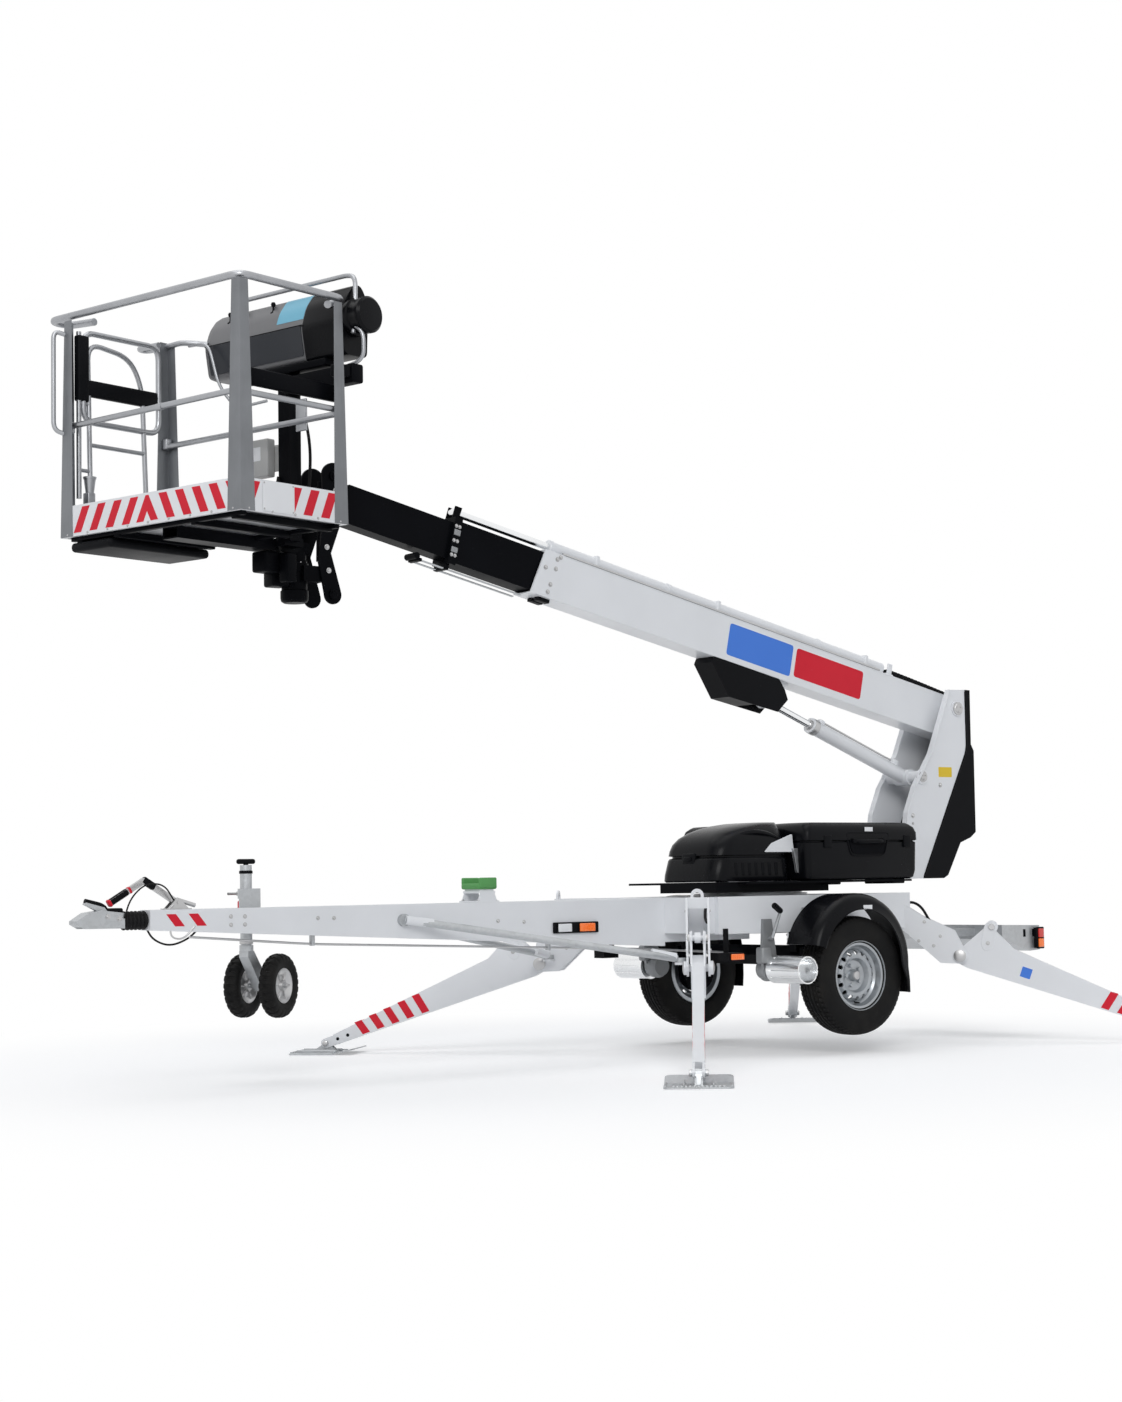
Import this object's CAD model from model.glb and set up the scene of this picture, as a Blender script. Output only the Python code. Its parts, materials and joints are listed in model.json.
"""Looks of a towable telescopic boom lift that stands on its four outriggers.

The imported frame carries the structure. This script dresses it: a finish for every
carried-over part, and modelled pieces for tyres, moulded covers, tubes, hoses,
decals, lamps and fasteners. All lengths are in metres; X points to the tow
coupling, Y to the machine's left and Z up, with the origin under the middle of
the machine. Lengths along X in the code are measured from the axle, and MACHINE
carries them into the frame.
"""

import json
import logging
import math
from dataclasses import dataclass, field
from enum import Enum
from functools import cache

import bmesh
import bpy
import numpy as np
from mathutils import Matrix

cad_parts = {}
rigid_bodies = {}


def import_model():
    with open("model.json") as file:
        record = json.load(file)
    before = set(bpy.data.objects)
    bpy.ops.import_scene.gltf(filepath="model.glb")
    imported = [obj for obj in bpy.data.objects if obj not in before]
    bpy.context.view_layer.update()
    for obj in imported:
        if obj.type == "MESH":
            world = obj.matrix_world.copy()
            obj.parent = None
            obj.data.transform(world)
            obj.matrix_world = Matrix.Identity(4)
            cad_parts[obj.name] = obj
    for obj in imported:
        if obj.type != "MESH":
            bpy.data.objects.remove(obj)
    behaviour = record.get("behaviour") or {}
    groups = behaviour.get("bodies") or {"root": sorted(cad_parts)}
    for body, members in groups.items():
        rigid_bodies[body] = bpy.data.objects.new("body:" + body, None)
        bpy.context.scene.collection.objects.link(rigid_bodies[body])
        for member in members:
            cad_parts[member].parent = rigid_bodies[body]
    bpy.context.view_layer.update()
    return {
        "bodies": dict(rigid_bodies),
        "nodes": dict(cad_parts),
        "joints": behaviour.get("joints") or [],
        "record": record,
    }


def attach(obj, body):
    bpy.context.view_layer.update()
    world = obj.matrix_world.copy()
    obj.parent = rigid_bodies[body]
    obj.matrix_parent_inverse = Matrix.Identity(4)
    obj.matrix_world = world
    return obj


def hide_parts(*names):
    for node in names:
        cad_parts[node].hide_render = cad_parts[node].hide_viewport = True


log = logging.getLogger("boom_lift")
Array = np.ndarray
AXLE_X = -1.2090
BOOM_TILT = math.radians(12.6)
BASKET_YAW = math.radians(13.0)
PLAN_ANGLE = math.radians(48.8)

# Joint axes that several parts share: X from the axle, Z above the ground.
BOOM_PIVOT = (-1.530, 2.020)
LIFT_PIVOT = (-1.200, 1.590)
BASKET_AXIS = 3.18536
HINGE_FRONT, HINGE_REAR, HINGE_SIDE, HINGE_Z = 1.119, -0.905, 0.695, 0.512
ARM_LEN = 1.379
FOOT_PIN_Z = 0.060
ARM_SLOPE = math.asin((HINGE_Z - FOOT_PIN_Z) / ARM_LEN)
ARM_PLAN = ARM_LEN * math.cos(ARM_SLOPE)
SIDES = (("left", 1), ("right", -1))

# The drawbar: X of its tip, its length, its half width there and how much wider it gets.
BAR_TIP, BAR_LEN, BAR_HALF, BAR_FLARE = 4.040, 3.180, 0.052, 0.060

# How far a film stands out, and how every mesh is cleaned and bevelled.
FILM = 0.0008
BEVEL_LIMIT = math.radians(40)
WELD_DISTANCE = 2e-6

# Values that all finishes share. COAT_ROUGH is the clear coat's own roughness. The other
# names that end in ROUGH are shares of a mask that are added to the finish's roughness.
COAT_ROUGH = 0.12
BUMP_DISTANCE = 0.0015
LENS_GLOW = 0.25
CLOUD_ROUGH, FLAKE_ROUGH, LINE_ROUGH, SCUFF_ROUGH, DUST_ROUGH = 0.16, 0.2, 0.22, 0.3, 0.4
FLAKE_SIZE, FLAKE_PALE = 70.0, 1.22
LINE_SIZE, LINE_STRETCH = 90.0, (1.0, 1.0, 0.08)


@dataclass(frozen=True)
class Place:
    """An origin and three square directions that carry a shape into the machine."""

    origin: tuple[float, ...] = (AXLE_X, 0.0, 0.0)
    x: tuple[float, ...] = (1.0, 0.0, 0.0)
    y: tuple[float, ...] = (0.0, 1.0, 0.0)
    z: tuple[float, ...] = (0.0, 0.0, 1.0)

    def put(self, points: Array) -> Array:
        """Returns the points, given in this place, in the machine's own frame."""
        return np.asarray(points, float) @ np.array([self.x, self.y, self.z]) + np.array(self.origin)

    def moved(self, x: float = 0.0, y: float = 0.0, z: float = 0.0) -> "Place":
        """Returns this place with its origin moved along its own directions."""
        return Place(tuple(self.put((x, y, z))), self.x, self.y, self.z)

    def facing(self, x: tuple[float, ...], y: tuple[float, ...]) -> "Place":
        """Returns this place turned.

        Args:
            x: New first direction, in this place's own coordinates.
            y: New second direction, in this place's own coordinates.

        Returns:
            A place with the same origin whose third direction is square to both.
        """
        base = np.array([self.x, self.y, self.z])
        a, b = np.asarray(x, float) @ base, np.asarray(y, float) @ base
        a, b = a / np.linalg.norm(a), b / np.linalg.norm(b)
        return Place(self.origin, tuple(a), tuple(b), tuple(np.cross(a, b)))

    def wall(self, side: int) -> "Place":
        """Returns this place turned to a side wall: X to the viewer's right, Y up and Z outwards."""
        return self.facing((-side, 0, 0), (0, 0, 1))


MACHINE = Place()
BOOM = Place(
    (AXLE_X + BOOM_PIVOT[0], 0.0, BOOM_PIVOT[1]),
    (math.cos(BOOM_TILT), 0.0, math.sin(BOOM_TILT)),
    (0.0, 1.0, 0.0),
    (-math.sin(BOOM_TILT), 0.0, math.cos(BOOM_TILT)),
)
BASKET = Place(
    (AXLE_X + BASKET_AXIS, 0.0, 0.0),
    (math.cos(BASKET_YAW), math.sin(BASKET_YAW), 0.0),
    (-math.sin(BASKET_YAW), math.cos(BASKET_YAW), 0.0),
)


def corner(front: bool, side: int) -> Place:
    """Returns the place of an outrigger hinge, whose X points outwards in plan."""
    turn = side * (PLAN_ANGLE if front else math.pi - PLAN_ANGLE)
    c, s = math.cos(turn), math.sin(turn)
    along = HINGE_FRONT if front else HINGE_REAR
    return Place((AXLE_X + along, side * HINGE_SIDE, HINGE_Z), (c, s, 0.0), (-s, c, 0.0))


def arm_place(front: bool, side: int) -> Place:
    """Returns the place of an outrigger arm, whose X runs down along the arm."""
    c, s = math.cos(ARM_SLOPE), math.sin(ARM_SLOPE)
    return corner(front, side).facing((c, 0.0, -s), (0.0, 1.0, 0.0))


def flank(here: Place, face: int, out: float) -> Place:
    """Returns the plane of one side of an arm or a corner case, with Y up and Z outwards."""
    at = here.moved(y=face * out)
    return Place(at.origin, tuple(-face * v for v in here.x), here.z, tuple(face * v for v in here.y))


def bar_half(x: float) -> float:
    """Returns the drawbar's half width at a distance ahead of the axle."""
    return BAR_HALF + BAR_FLARE * (BAR_TIP - x) / BAR_LEN


def bar_side(x: float, z: float, side: int = 1) -> Place:
    """Returns a place on a side of the drawbar: X to the front, Y up, Z outwards."""
    yaw = math.atan(BAR_FLARE / BAR_LEN)
    ahead = (math.cos(yaw), -side * math.sin(yaw), 0.0)
    base = MACHINE.moved(x, side * bar_half(x), z)
    return base.facing(ahead, (0.0, 0.0, 1.0)) if side < 0 else Place(
        base.origin, ahead, (0.0, 0.0, 1.0), (math.sin(yaw), math.cos(yaw), 0.0))


@dataclass
class Shape:
    """Vertices, four-sided faces and end faces of one surface."""

    verts: Array
    quads: Array
    caps: list[list[int]] = field(default_factory=list)

    @staticmethod
    def joined(shapes: list["Shape"]) -> "Shape":
        """Returns one shape that holds all the given ones."""
        starts = np.cumsum([0] + [len(s.verts) for s in shapes[:-1]])
        quads = [s.quads + n for s, n in zip(shapes, starts)]
        caps = [[i + int(n) for i in cap] for s, n in zip(shapes, starts) for cap in s.caps]
        return Shape(np.vstack([s.verts for s in shapes]), np.vstack(quads), caps)


def surface(points: Array, wrap_u: bool = False, wrap_v: bool = False, capped: bool = False) -> Shape:
    """Makes a shape from a grid of points, one face to each cell.

    Args:
        points: Array of (rows, columns, 3).
        wrap_u: Whether the last row joins the first.
        wrap_v: Whether the last column joins the first.
        capped: Whether the first and the last row are closed with a face.

    Returns:
        The shape.
    """
    nu, nv = points.shape[:2]
    u = np.arange(nu if wrap_u else nu - 1)[:, None]
    v = np.arange(nv if wrap_v else nv - 1)[None, :]
    un, vn = (u + 1) % nu, (v + 1) % nv
    quads = np.stack([u * nv + v, u * nv + vn, un * nv + vn, un * nv + v], -1).reshape(-1, 4)
    ends = [list(range(nv - 1, -1, -1)), list(range((nu - 1) * nv, nu * nv))] if capped else []
    return Shape(points.reshape(-1, 3), quads, ends)


def circle(radius: float, count: int = 14) -> Array:
    """Returns points of a circle: radius times the cosine and sine of even angles."""
    a = np.linspace(0, 2 * np.pi, count, endpoint=False)
    return radius * np.stack([np.cos(a), np.sin(a)], -1)


def ring(x0: float, x1: float, y0: float, y1: float, radius: float, steps: int = 6) -> Array:
    """Returns a rectangle with round corners: four quarter circles joined by straight lines."""
    a = np.linspace(0, np.pi / 2, steps)
    quarter = np.concatenate([a + k * np.pi / 2 for k in range(4)])
    cx = np.repeat([x1 - radius, x0 + radius, x0 + radius, x1 - radius], steps)
    cy = np.repeat([y1 - radius, y1 - radius, y0 + radius, y0 + radius], steps)
    return np.stack([cx + radius * np.cos(quarter), cy + radius * np.sin(quarter)], -1)


def rounded(points: list, bend: float, closed: bool = False, steps: int = 7) -> Array:
    """Rounds the corners of a path with parabolas that leave each corner a bend's length away.

    Args:
        points: Corners of the path.
        bend: Distance from a corner at which the path starts to turn.
        closed: Whether the last corner joins the first.
        steps: Points on each rounded corner.

    Returns:
        Array of points, (n, dimensions).
    """
    p = np.asarray(points, float)
    s = np.linspace(0, 1, steps)[:, None]
    out = [] if closed else [p[:1]]
    for i in range(0 if closed else 1, len(p) if closed else len(p) - 1):
        a, c, b = p[i - 1], p[i], p[(i + 1) % len(p)]
        la, lb = np.linalg.norm(a - c), np.linalg.norm(b - c)
        start = c + (a - c) * min(bend / la, 0.49)
        end = c + (b - c) * min(bend / lb, 0.49)
        out.append((1 - s) ** 2 * start + 2 * s * (1 - s) * c + s ** 2 * end)
    return np.vstack(out if closed else out + [p[-1:]])


def sweep(path: Array, outline: Array, closed: bool = False, scale: Array | None = None) -> Shape:
    """Carries an outline along a path.

    Each row of the grid is the outline, laid across the path's direction at one of
    its points. One side of the outline keeps to the normal of the path's own plane.

    Args:
        path: Points of the path.
        outline: Points of the closed outline, in two coordinates.
        closed: Whether the path is a loop.
        scale: Size of the outline at each point.

    Returns:
        The closed shape.
    """
    path = np.asarray(path, float)
    along = np.roll(path, -1, 0) - np.roll(path, 1, 0) if closed else np.gradient(path, axis=0)
    along /= np.linalg.norm(along, axis=1, keepdims=True)
    normal = np.linalg.svd(path - path.mean(0))[2][2]
    across = np.cross(along, normal)
    across /= np.linalg.norm(across, axis=1, keepdims=True)
    up = np.cross(across, along)
    size = np.ones(len(path)) if scale is None else np.asarray(scale, float)
    rows = path[:, None, :] + size[:, None, None] * (
        outline[None, :, :1] * across[:, None, :] + outline[None, :, 1:] * up[:, None, :])
    return surface(rows, wrap_u=closed, wrap_v=True, capped=not closed)


def tube(points: list, diameter: float, place: Place = MACHINE, bend: float = 0.05,
         closed: bool = False, sides: int = 14) -> Shape:
    """Returns a round tube that follows a path with rounded corners."""
    return sweep(place.put(rounded(points, bend, closed)), circle(diameter / 2, sides), closed)


def lathe(profile: list, place: Place, segments: int = 40, closed: bool = False) -> Shape:
    """Turns a profile of (radius, height) pairs about a place's third direction."""
    p = np.asarray(profile, float)
    a = np.linspace(0, 2 * np.pi, segments, endpoint=False)[:, None]
    rows = np.stack([p[:, 0] * np.cos(a), p[:, 0] * np.sin(a), p[:, 1] + 0 * a], -1)
    return surface(place.put(rows), wrap_u=True, wrap_v=closed)


def skin(rows: list[Array], place: Place) -> Shape:
    """Closes a row of equal outlines into one skin with a face at both ends."""
    return surface(place.put(np.stack(rows)), wrap_v=True, capped=True)


def loft(rings: list[Array], heights: list[float], place: Place) -> Shape:
    """Joins outlines of equal count at the given heights of a place into one closed skin."""
    return skin([np.column_stack([r, np.full(len(r), h)]) for r, h in zip(rings, heights)], place)


def slab(outline: Array, low: float, high: float, place: Place) -> Shape:
    """Extrudes an outline along a place's third direction, from one height to another."""
    return loft([np.asarray(outline, float)] * 2, [low, high], place)


def block(low: tuple, high: tuple, radius: float, place: Place = MACHINE, steps: int = 4) -> Shape:
    """Makes a box with round edges: a sphere's octants moved apart to the box's corners.

    Args:
        low: Lowest corner.
        high: Highest corner.
        radius: Radius of every edge.
        place: Where the box goes.
        steps: Points along a rounded edge.

    Returns:
        The closed shape.
    """
    lo, hi = np.asarray(low, float), np.asarray(high, float)
    quarter = np.linspace(0, np.pi / 2, steps)
    theta = np.concatenate([quarter + k * np.pi / 2 for k in range(4)])[None, :]
    sx = np.repeat([1, -1, -1, 1], steps)[None, :]
    sy = np.repeat([1, 1, -1, -1], steps)[None, :]
    phi = np.concatenate([quarter - np.pi / 2, quarter])[:, None]
    sz = np.repeat([-1, 1], steps)[:, None]
    half = (hi - lo) / 2 - radius
    rows = np.stack([
        sx * half[0] + radius * np.cos(phi) * np.cos(theta),
        sy * half[1] + radius * np.cos(phi) * np.sin(theta),
        sz * half[2] + radius * np.sin(phi) + 0 * theta], -1) + (hi + lo) / 2
    shape = surface(place.put(rows), wrap_v=True)
    first = [3 * steps, 2 * steps, steps, 0]
    last = (2 * steps - 1) * 4 * steps
    shape.caps = [first, [last + i for i in reversed(first)]]
    return shape


def bolt_heads(points: list, place: Place, across: float = 0.017, height: float = 0.008) -> Shape:
    """Makes six-sided bolt heads on washers at points of a place, standing along its third direction."""
    r = across / 2
    head = [(0, height), (0.82 * r, height), (r, 0.8 * height), (r, 0.2 * height)]
    washer = [(1.45 * r, 0.2 * height), (1.45 * r, 0), (0, 0)]
    made = []
    for p in points:
        here = place.moved(*p)
        made += [lathe(head + [(0, 0.2 * height)], here, 6), lathe([(0, 0.2 * height)] + washer, here, 18)]
    return Shape.joined(made)


def card(x0: float, x1: float, y0: float, y1: float, bend: float) -> Array:
    """Returns a rectangle whose corners are rounded off by a bend's length."""
    return rounded([(x0, y0), (x1, y0), (x1, y1), (x0, y1)], bend, True)


def slanted(starts: Array, width: float, height: float, lean: float, thick: float, place: Place) -> Shape:
    """Makes a row of slanting patches.

    Args:
        starts: Lower left corner of each patch along the place's X.
        width: Width of a patch along X.
        height: Height of a patch along Y.
        lean: How far the top edge stands ahead of the lower one.
        thick: How far a patch stands out along Z.
        place: Plane that the patches lie on.

    Returns:
        The patches as one shape.
    """
    made = []
    for s in np.atleast_1d(starts):
        outline = [(s, 0), (s + width, 0), (s + width + lean, height), (s + lean, height)]
        made.append(slab(outline, 0.0, thick, place))
    return Shape.joined(made)


def piece(name: str, shape: Shape | list[Shape], finish: "Finish", body: str,
          stands_for: tuple[str, ...] = (), smooth: float = 35.0, bevel: float = 0.0) -> bpy.types.Object:
    """Turns a shape into an object that wears a finish and rides on a body.

    Args:
        name: Name of the piece.
        shape: Its surface, or a list of surfaces that form it, in the machine's frame.
        finish: What it is painted with or made of.
        body: Name of the moving body that carries it.
        stands_for: Nodes of the frame that it replaces.
        smooth: Angle in degrees under which an edge is shaded smooth.
        bevel: Width of a bevel on the sharp edges, or 0.

    Returns:
        The object.
    """
    shape = Shape.joined(shape) if isinstance(shape, list) else shape
    mesh = bpy.data.meshes.new(name)
    mesh.from_pydata(shape.verts.tolist(), [], shape.quads.tolist() + shape.caps)
    work = bmesh.new()
    work.from_mesh(mesh)
    bmesh.ops.remove_doubles(work, verts=work.verts, dist=WELD_DISTANCE)
    bmesh.ops.recalc_face_normals(work, faces=work.faces)
    work.to_mesh(mesh)
    work.free()
    mesh.shade_smooth()
    mesh.set_sharp_from_angle(angle=math.radians(smooth))
    thing = bpy.data.objects.new(name, mesh)
    bpy.context.scene.collection.objects.link(thing)
    mesh.materials.append(finish.material())
    if bevel:
        edge = thing.modifiers.new("edges", "BEVEL")
        edge.width, edge.segments, edge.limit_method = bevel, 2, "ANGLE"
        edge.angle_limit = BEVEL_LIMIT
        edge.use_clamp_overlap = True
    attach(thing, body)
    if stands_for:
        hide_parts(*stands_for)
    log.info("%s: %d faces on %s", name, len(mesh.polygons), body)
    return thing


def hose(name: str, points: list, diameter: float, finish: "Finish", body: str, place: Place = MACHINE,
         bend: float = 0.08) -> bpy.types.Object:
    """Makes a hose or cable that leaves the machine and goes back into it.

    Args:
        name: Name of the piece.
        points: Corners of its route.
        diameter: Outer diameter.
        finish: Its finish.
        body: Body that both its ends are fixed to.
        place: Place that the route is given in.
        bend: Distance from a corner at which the hose starts to turn.

    Returns:
        The object, declared as a cord.
    """
    route = place.put(rounded(points, bend, steps=9))
    made = piece(name, sweep(route, circle(diameter / 2, 10)), finish, body)
    return made


class Surface(Enum):
    """The families of surface, which differ in how their grain is made."""

    PAINT = "paint"
    MOULDED = "moulded"
    ZINC = "zinc"
    BRUSHED = "brushed"
    RUBBER = "rubber"
    LENS = "lens"


class Recipes:
    """Node groups that several finishes share, each built once."""

    @staticmethod
    def start(name: str, inputs: dict, outputs: dict) -> tuple:
        """Begins a group.

        Args:
            name: Name of the group.
            inputs: Name and starting value of each input; a tuple is a colour.
            outputs: Name and kind of each output, Color or Float.

        Returns:
            The group's tree, its input node and its output node.
        """
        tree = bpy.data.node_groups.new(name, "ShaderNodeTree")
        for key, value in inputs.items():
            kind = "NodeSocketColor" if isinstance(value, tuple) else "NodeSocketFloat"
            tree.interface.new_socket(key, in_out="INPUT", socket_type=kind).default_value = value
        for key, kind in outputs.items():
            tree.interface.new_socket(key, in_out="OUTPUT", socket_type="NodeSocket" + kind)
        return tree, tree.nodes.new("NodeGroupInput"), tree.nodes.new("NodeGroupOutput")

    @staticmethod
    def noise(tree: bpy.types.NodeTree, size: object, detail: float = 4.0,
              stretch: tuple = (1, 1, 1)) -> object:
        """Adds a noise on object coordinates and returns its value socket.

        Args:
            tree: Tree to add to.
            size: Socket or number that sets the scale.
            detail: Octaves of the noise.
            stretch: Scale along each axis.

        Returns:
            The socket of the noise's value.
        """
        where = tree.nodes.new("ShaderNodeTexCoord")
        mapping = tree.nodes.new("ShaderNodeMapping")
        mapping.inputs["Scale"].default_value = stretch
        made = tree.nodes.new("ShaderNodeTexNoise")
        made.inputs["Detail"].default_value = detail
        tree.links.new(where.outputs["Object"], mapping.inputs["Vector"])
        tree.links.new(mapping.outputs["Vector"], made.inputs["Vector"])
        if isinstance(size, (int, float)):
            made.inputs["Scale"].default_value = size
        else:
            tree.links.new(size, made.inputs["Scale"])
        return made.outputs["Fac"]

    @staticmethod
    def spread(tree: bpy.types.NodeTree, value: object, low: float, high: float,
               to_low: float = 0.0, to_high: float = 1.0) -> object:
        """Returns a socket that runs from to_low to to_high as the given one runs from low to high."""
        node = tree.nodes.new("ShaderNodeMapRange")
        node.interpolation_type = "SMOOTHSTEP"
        for key, number in (("From Min", low), ("From Max", high), ("To Min", to_low), ("To Max", to_high)):
            node.inputs[key].default_value = number
        tree.links.new(value, node.inputs["Value"])
        return node.outputs["Result"]

    @staticmethod
    def times(tree: bpy.types.NodeTree, a: object, b: object, kind: str = "MULTIPLY") -> object:
        """Returns a socket with two values combined, multiplied unless another operation is named."""
        node = tree.nodes.new("ShaderNodeMath")
        node.operation = kind
        for i, value in enumerate((a, b)):
            if isinstance(value, (int, float)):
                node.inputs[i].default_value = value
            else:
                tree.links.new(value, node.inputs[i])
        return node.outputs[0]

    @staticmethod
    def blend(tree: bpy.types.NodeTree, share: object, a: object, b: object) -> object:
        """Returns a colour socket that goes from a to b with the share."""
        node = tree.nodes.new("ShaderNodeMix")
        node.data_type = "RGBA"
        tree.links.new(share, node.inputs["Factor"])
        for socket, value in ((node.inputs[6], a), (node.inputs[7], b)):
            if isinstance(value, tuple):
                socket.default_value = value
            else:
                tree.links.new(value, socket)
        return node.outputs[2]

    @classmethod
    @cache
    def mottle(cls) -> bpy.types.NodeTree:
        """Group: two tones of a colour in soft clouds."""
        tree, gin, gout = cls.start("mottle", {"Colour": (1, 1, 1, 1), "Second": (1, 1, 1, 1), "Size": 3.0,
                                               "Amount": 0.5}, {"Colour": "Color", "Mask": "Float"})
        cloud = cls.spread(tree, cls.noise(tree, gin.outputs["Size"]), 0.35, 0.7)
        mask = cls.times(tree, cloud, gin.outputs["Amount"])
        tree.links.new(cls.blend(tree, mask, gin.outputs["Colour"], gin.outputs["Second"]),
                       gout.inputs["Colour"])
        tree.links.new(mask, gout.inputs["Mask"])
        return tree

    @classmethod
    @cache
    def settled(cls) -> bpy.types.NodeTree:
        """Group: road dust that thickens towards the ground and gathers in patches."""
        tree, gin, gout = cls.start("settled", {"Colour": (1, 1, 1, 1), "Dust": (0.3, 0.27, 0.22, 1),
                                                "Amount": 0.2}, {"Colour": "Color", "Mask": "Float"})
        where = tree.nodes.new("ShaderNodeTexCoord")
        parts = tree.nodes.new("ShaderNodeSeparateXYZ")
        tree.links.new(where.outputs["Object"], parts.inputs[0])
        low = cls.spread(tree, parts.outputs["Z"], 0.0, 1.3, 1.0, 0.12)
        patch = cls.spread(tree, cls.noise(tree, 7.0, 6.0), 0.38, 0.72)
        mask = cls.times(tree, cls.times(tree, low, patch), gin.outputs["Amount"])
        tree.links.new(cls.blend(tree, mask, gin.outputs["Colour"], gin.outputs["Dust"]),
                       gout.inputs["Colour"])
        tree.links.new(mask, gout.inputs["Mask"])
        return tree

    @classmethod
    @cache
    def relief(cls) -> bpy.types.NodeTree:
        """Group: a fine even height, for orange peel, leather grain and casting skin."""
        tree, gin, gout = cls.start("relief", {"Size": 300.0, "Depth": 1.0}, {"Height": "Float"})
        value = cls.times(tree, cls.noise(tree, gin.outputs["Size"], 2.0), gin.outputs["Depth"])
        tree.links.new(value, gout.inputs["Height"])
        return tree

    @classmethod
    @cache
    def spangle(cls) -> bpy.types.NodeTree:
        """Group: the crystal flakes of hot-dip zinc, as a shade from 0 to 1."""
        tree, gin, gout = cls.start("spangle", {"Size": 60.0}, {"Shade": "Float"})
        where = tree.nodes.new("ShaderNodeTexCoord")
        cells = tree.nodes.new("ShaderNodeTexVoronoi")
        tree.links.new(where.outputs["Object"], cells.inputs["Vector"])
        tree.links.new(gin.outputs["Size"], cells.inputs["Scale"])
        parts = tree.nodes.new("ShaderNodeSeparateColor")
        tree.links.new(cells.outputs["Color"], parts.inputs[0])
        cloud = cls.spread(tree, cls.noise(tree, 5.0), 0.3, 0.7)
        shade = cls.times(tree, cls.times(tree, parts.outputs[0], 0.55), cls.times(tree, cloud, 0.45), "ADD")
        tree.links.new(shade, gout.inputs["Shade"])
        return tree

    @classmethod
    @cache
    def scuffs(cls) -> bpy.types.NodeTree:
        """Group: thin random scratches and small chips, as a mask."""
        tree, gin, gout = cls.start("scuffs", {"Amount": 0.3}, {"Mask": "Float"})
        thin = cls.spread(tree, cls.noise(tree, 26.0, 3.0, (1.0, 6.0, 2.5)), 0.66, 0.72)
        area = cls.spread(tree, cls.noise(tree, 3.1, 2.0), 0.45, 0.62)
        mask = cls.times(tree, cls.times(tree, thin, area), gin.outputs["Amount"])
        tree.links.new(mask, gout.inputs["Mask"])
        return tree


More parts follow.
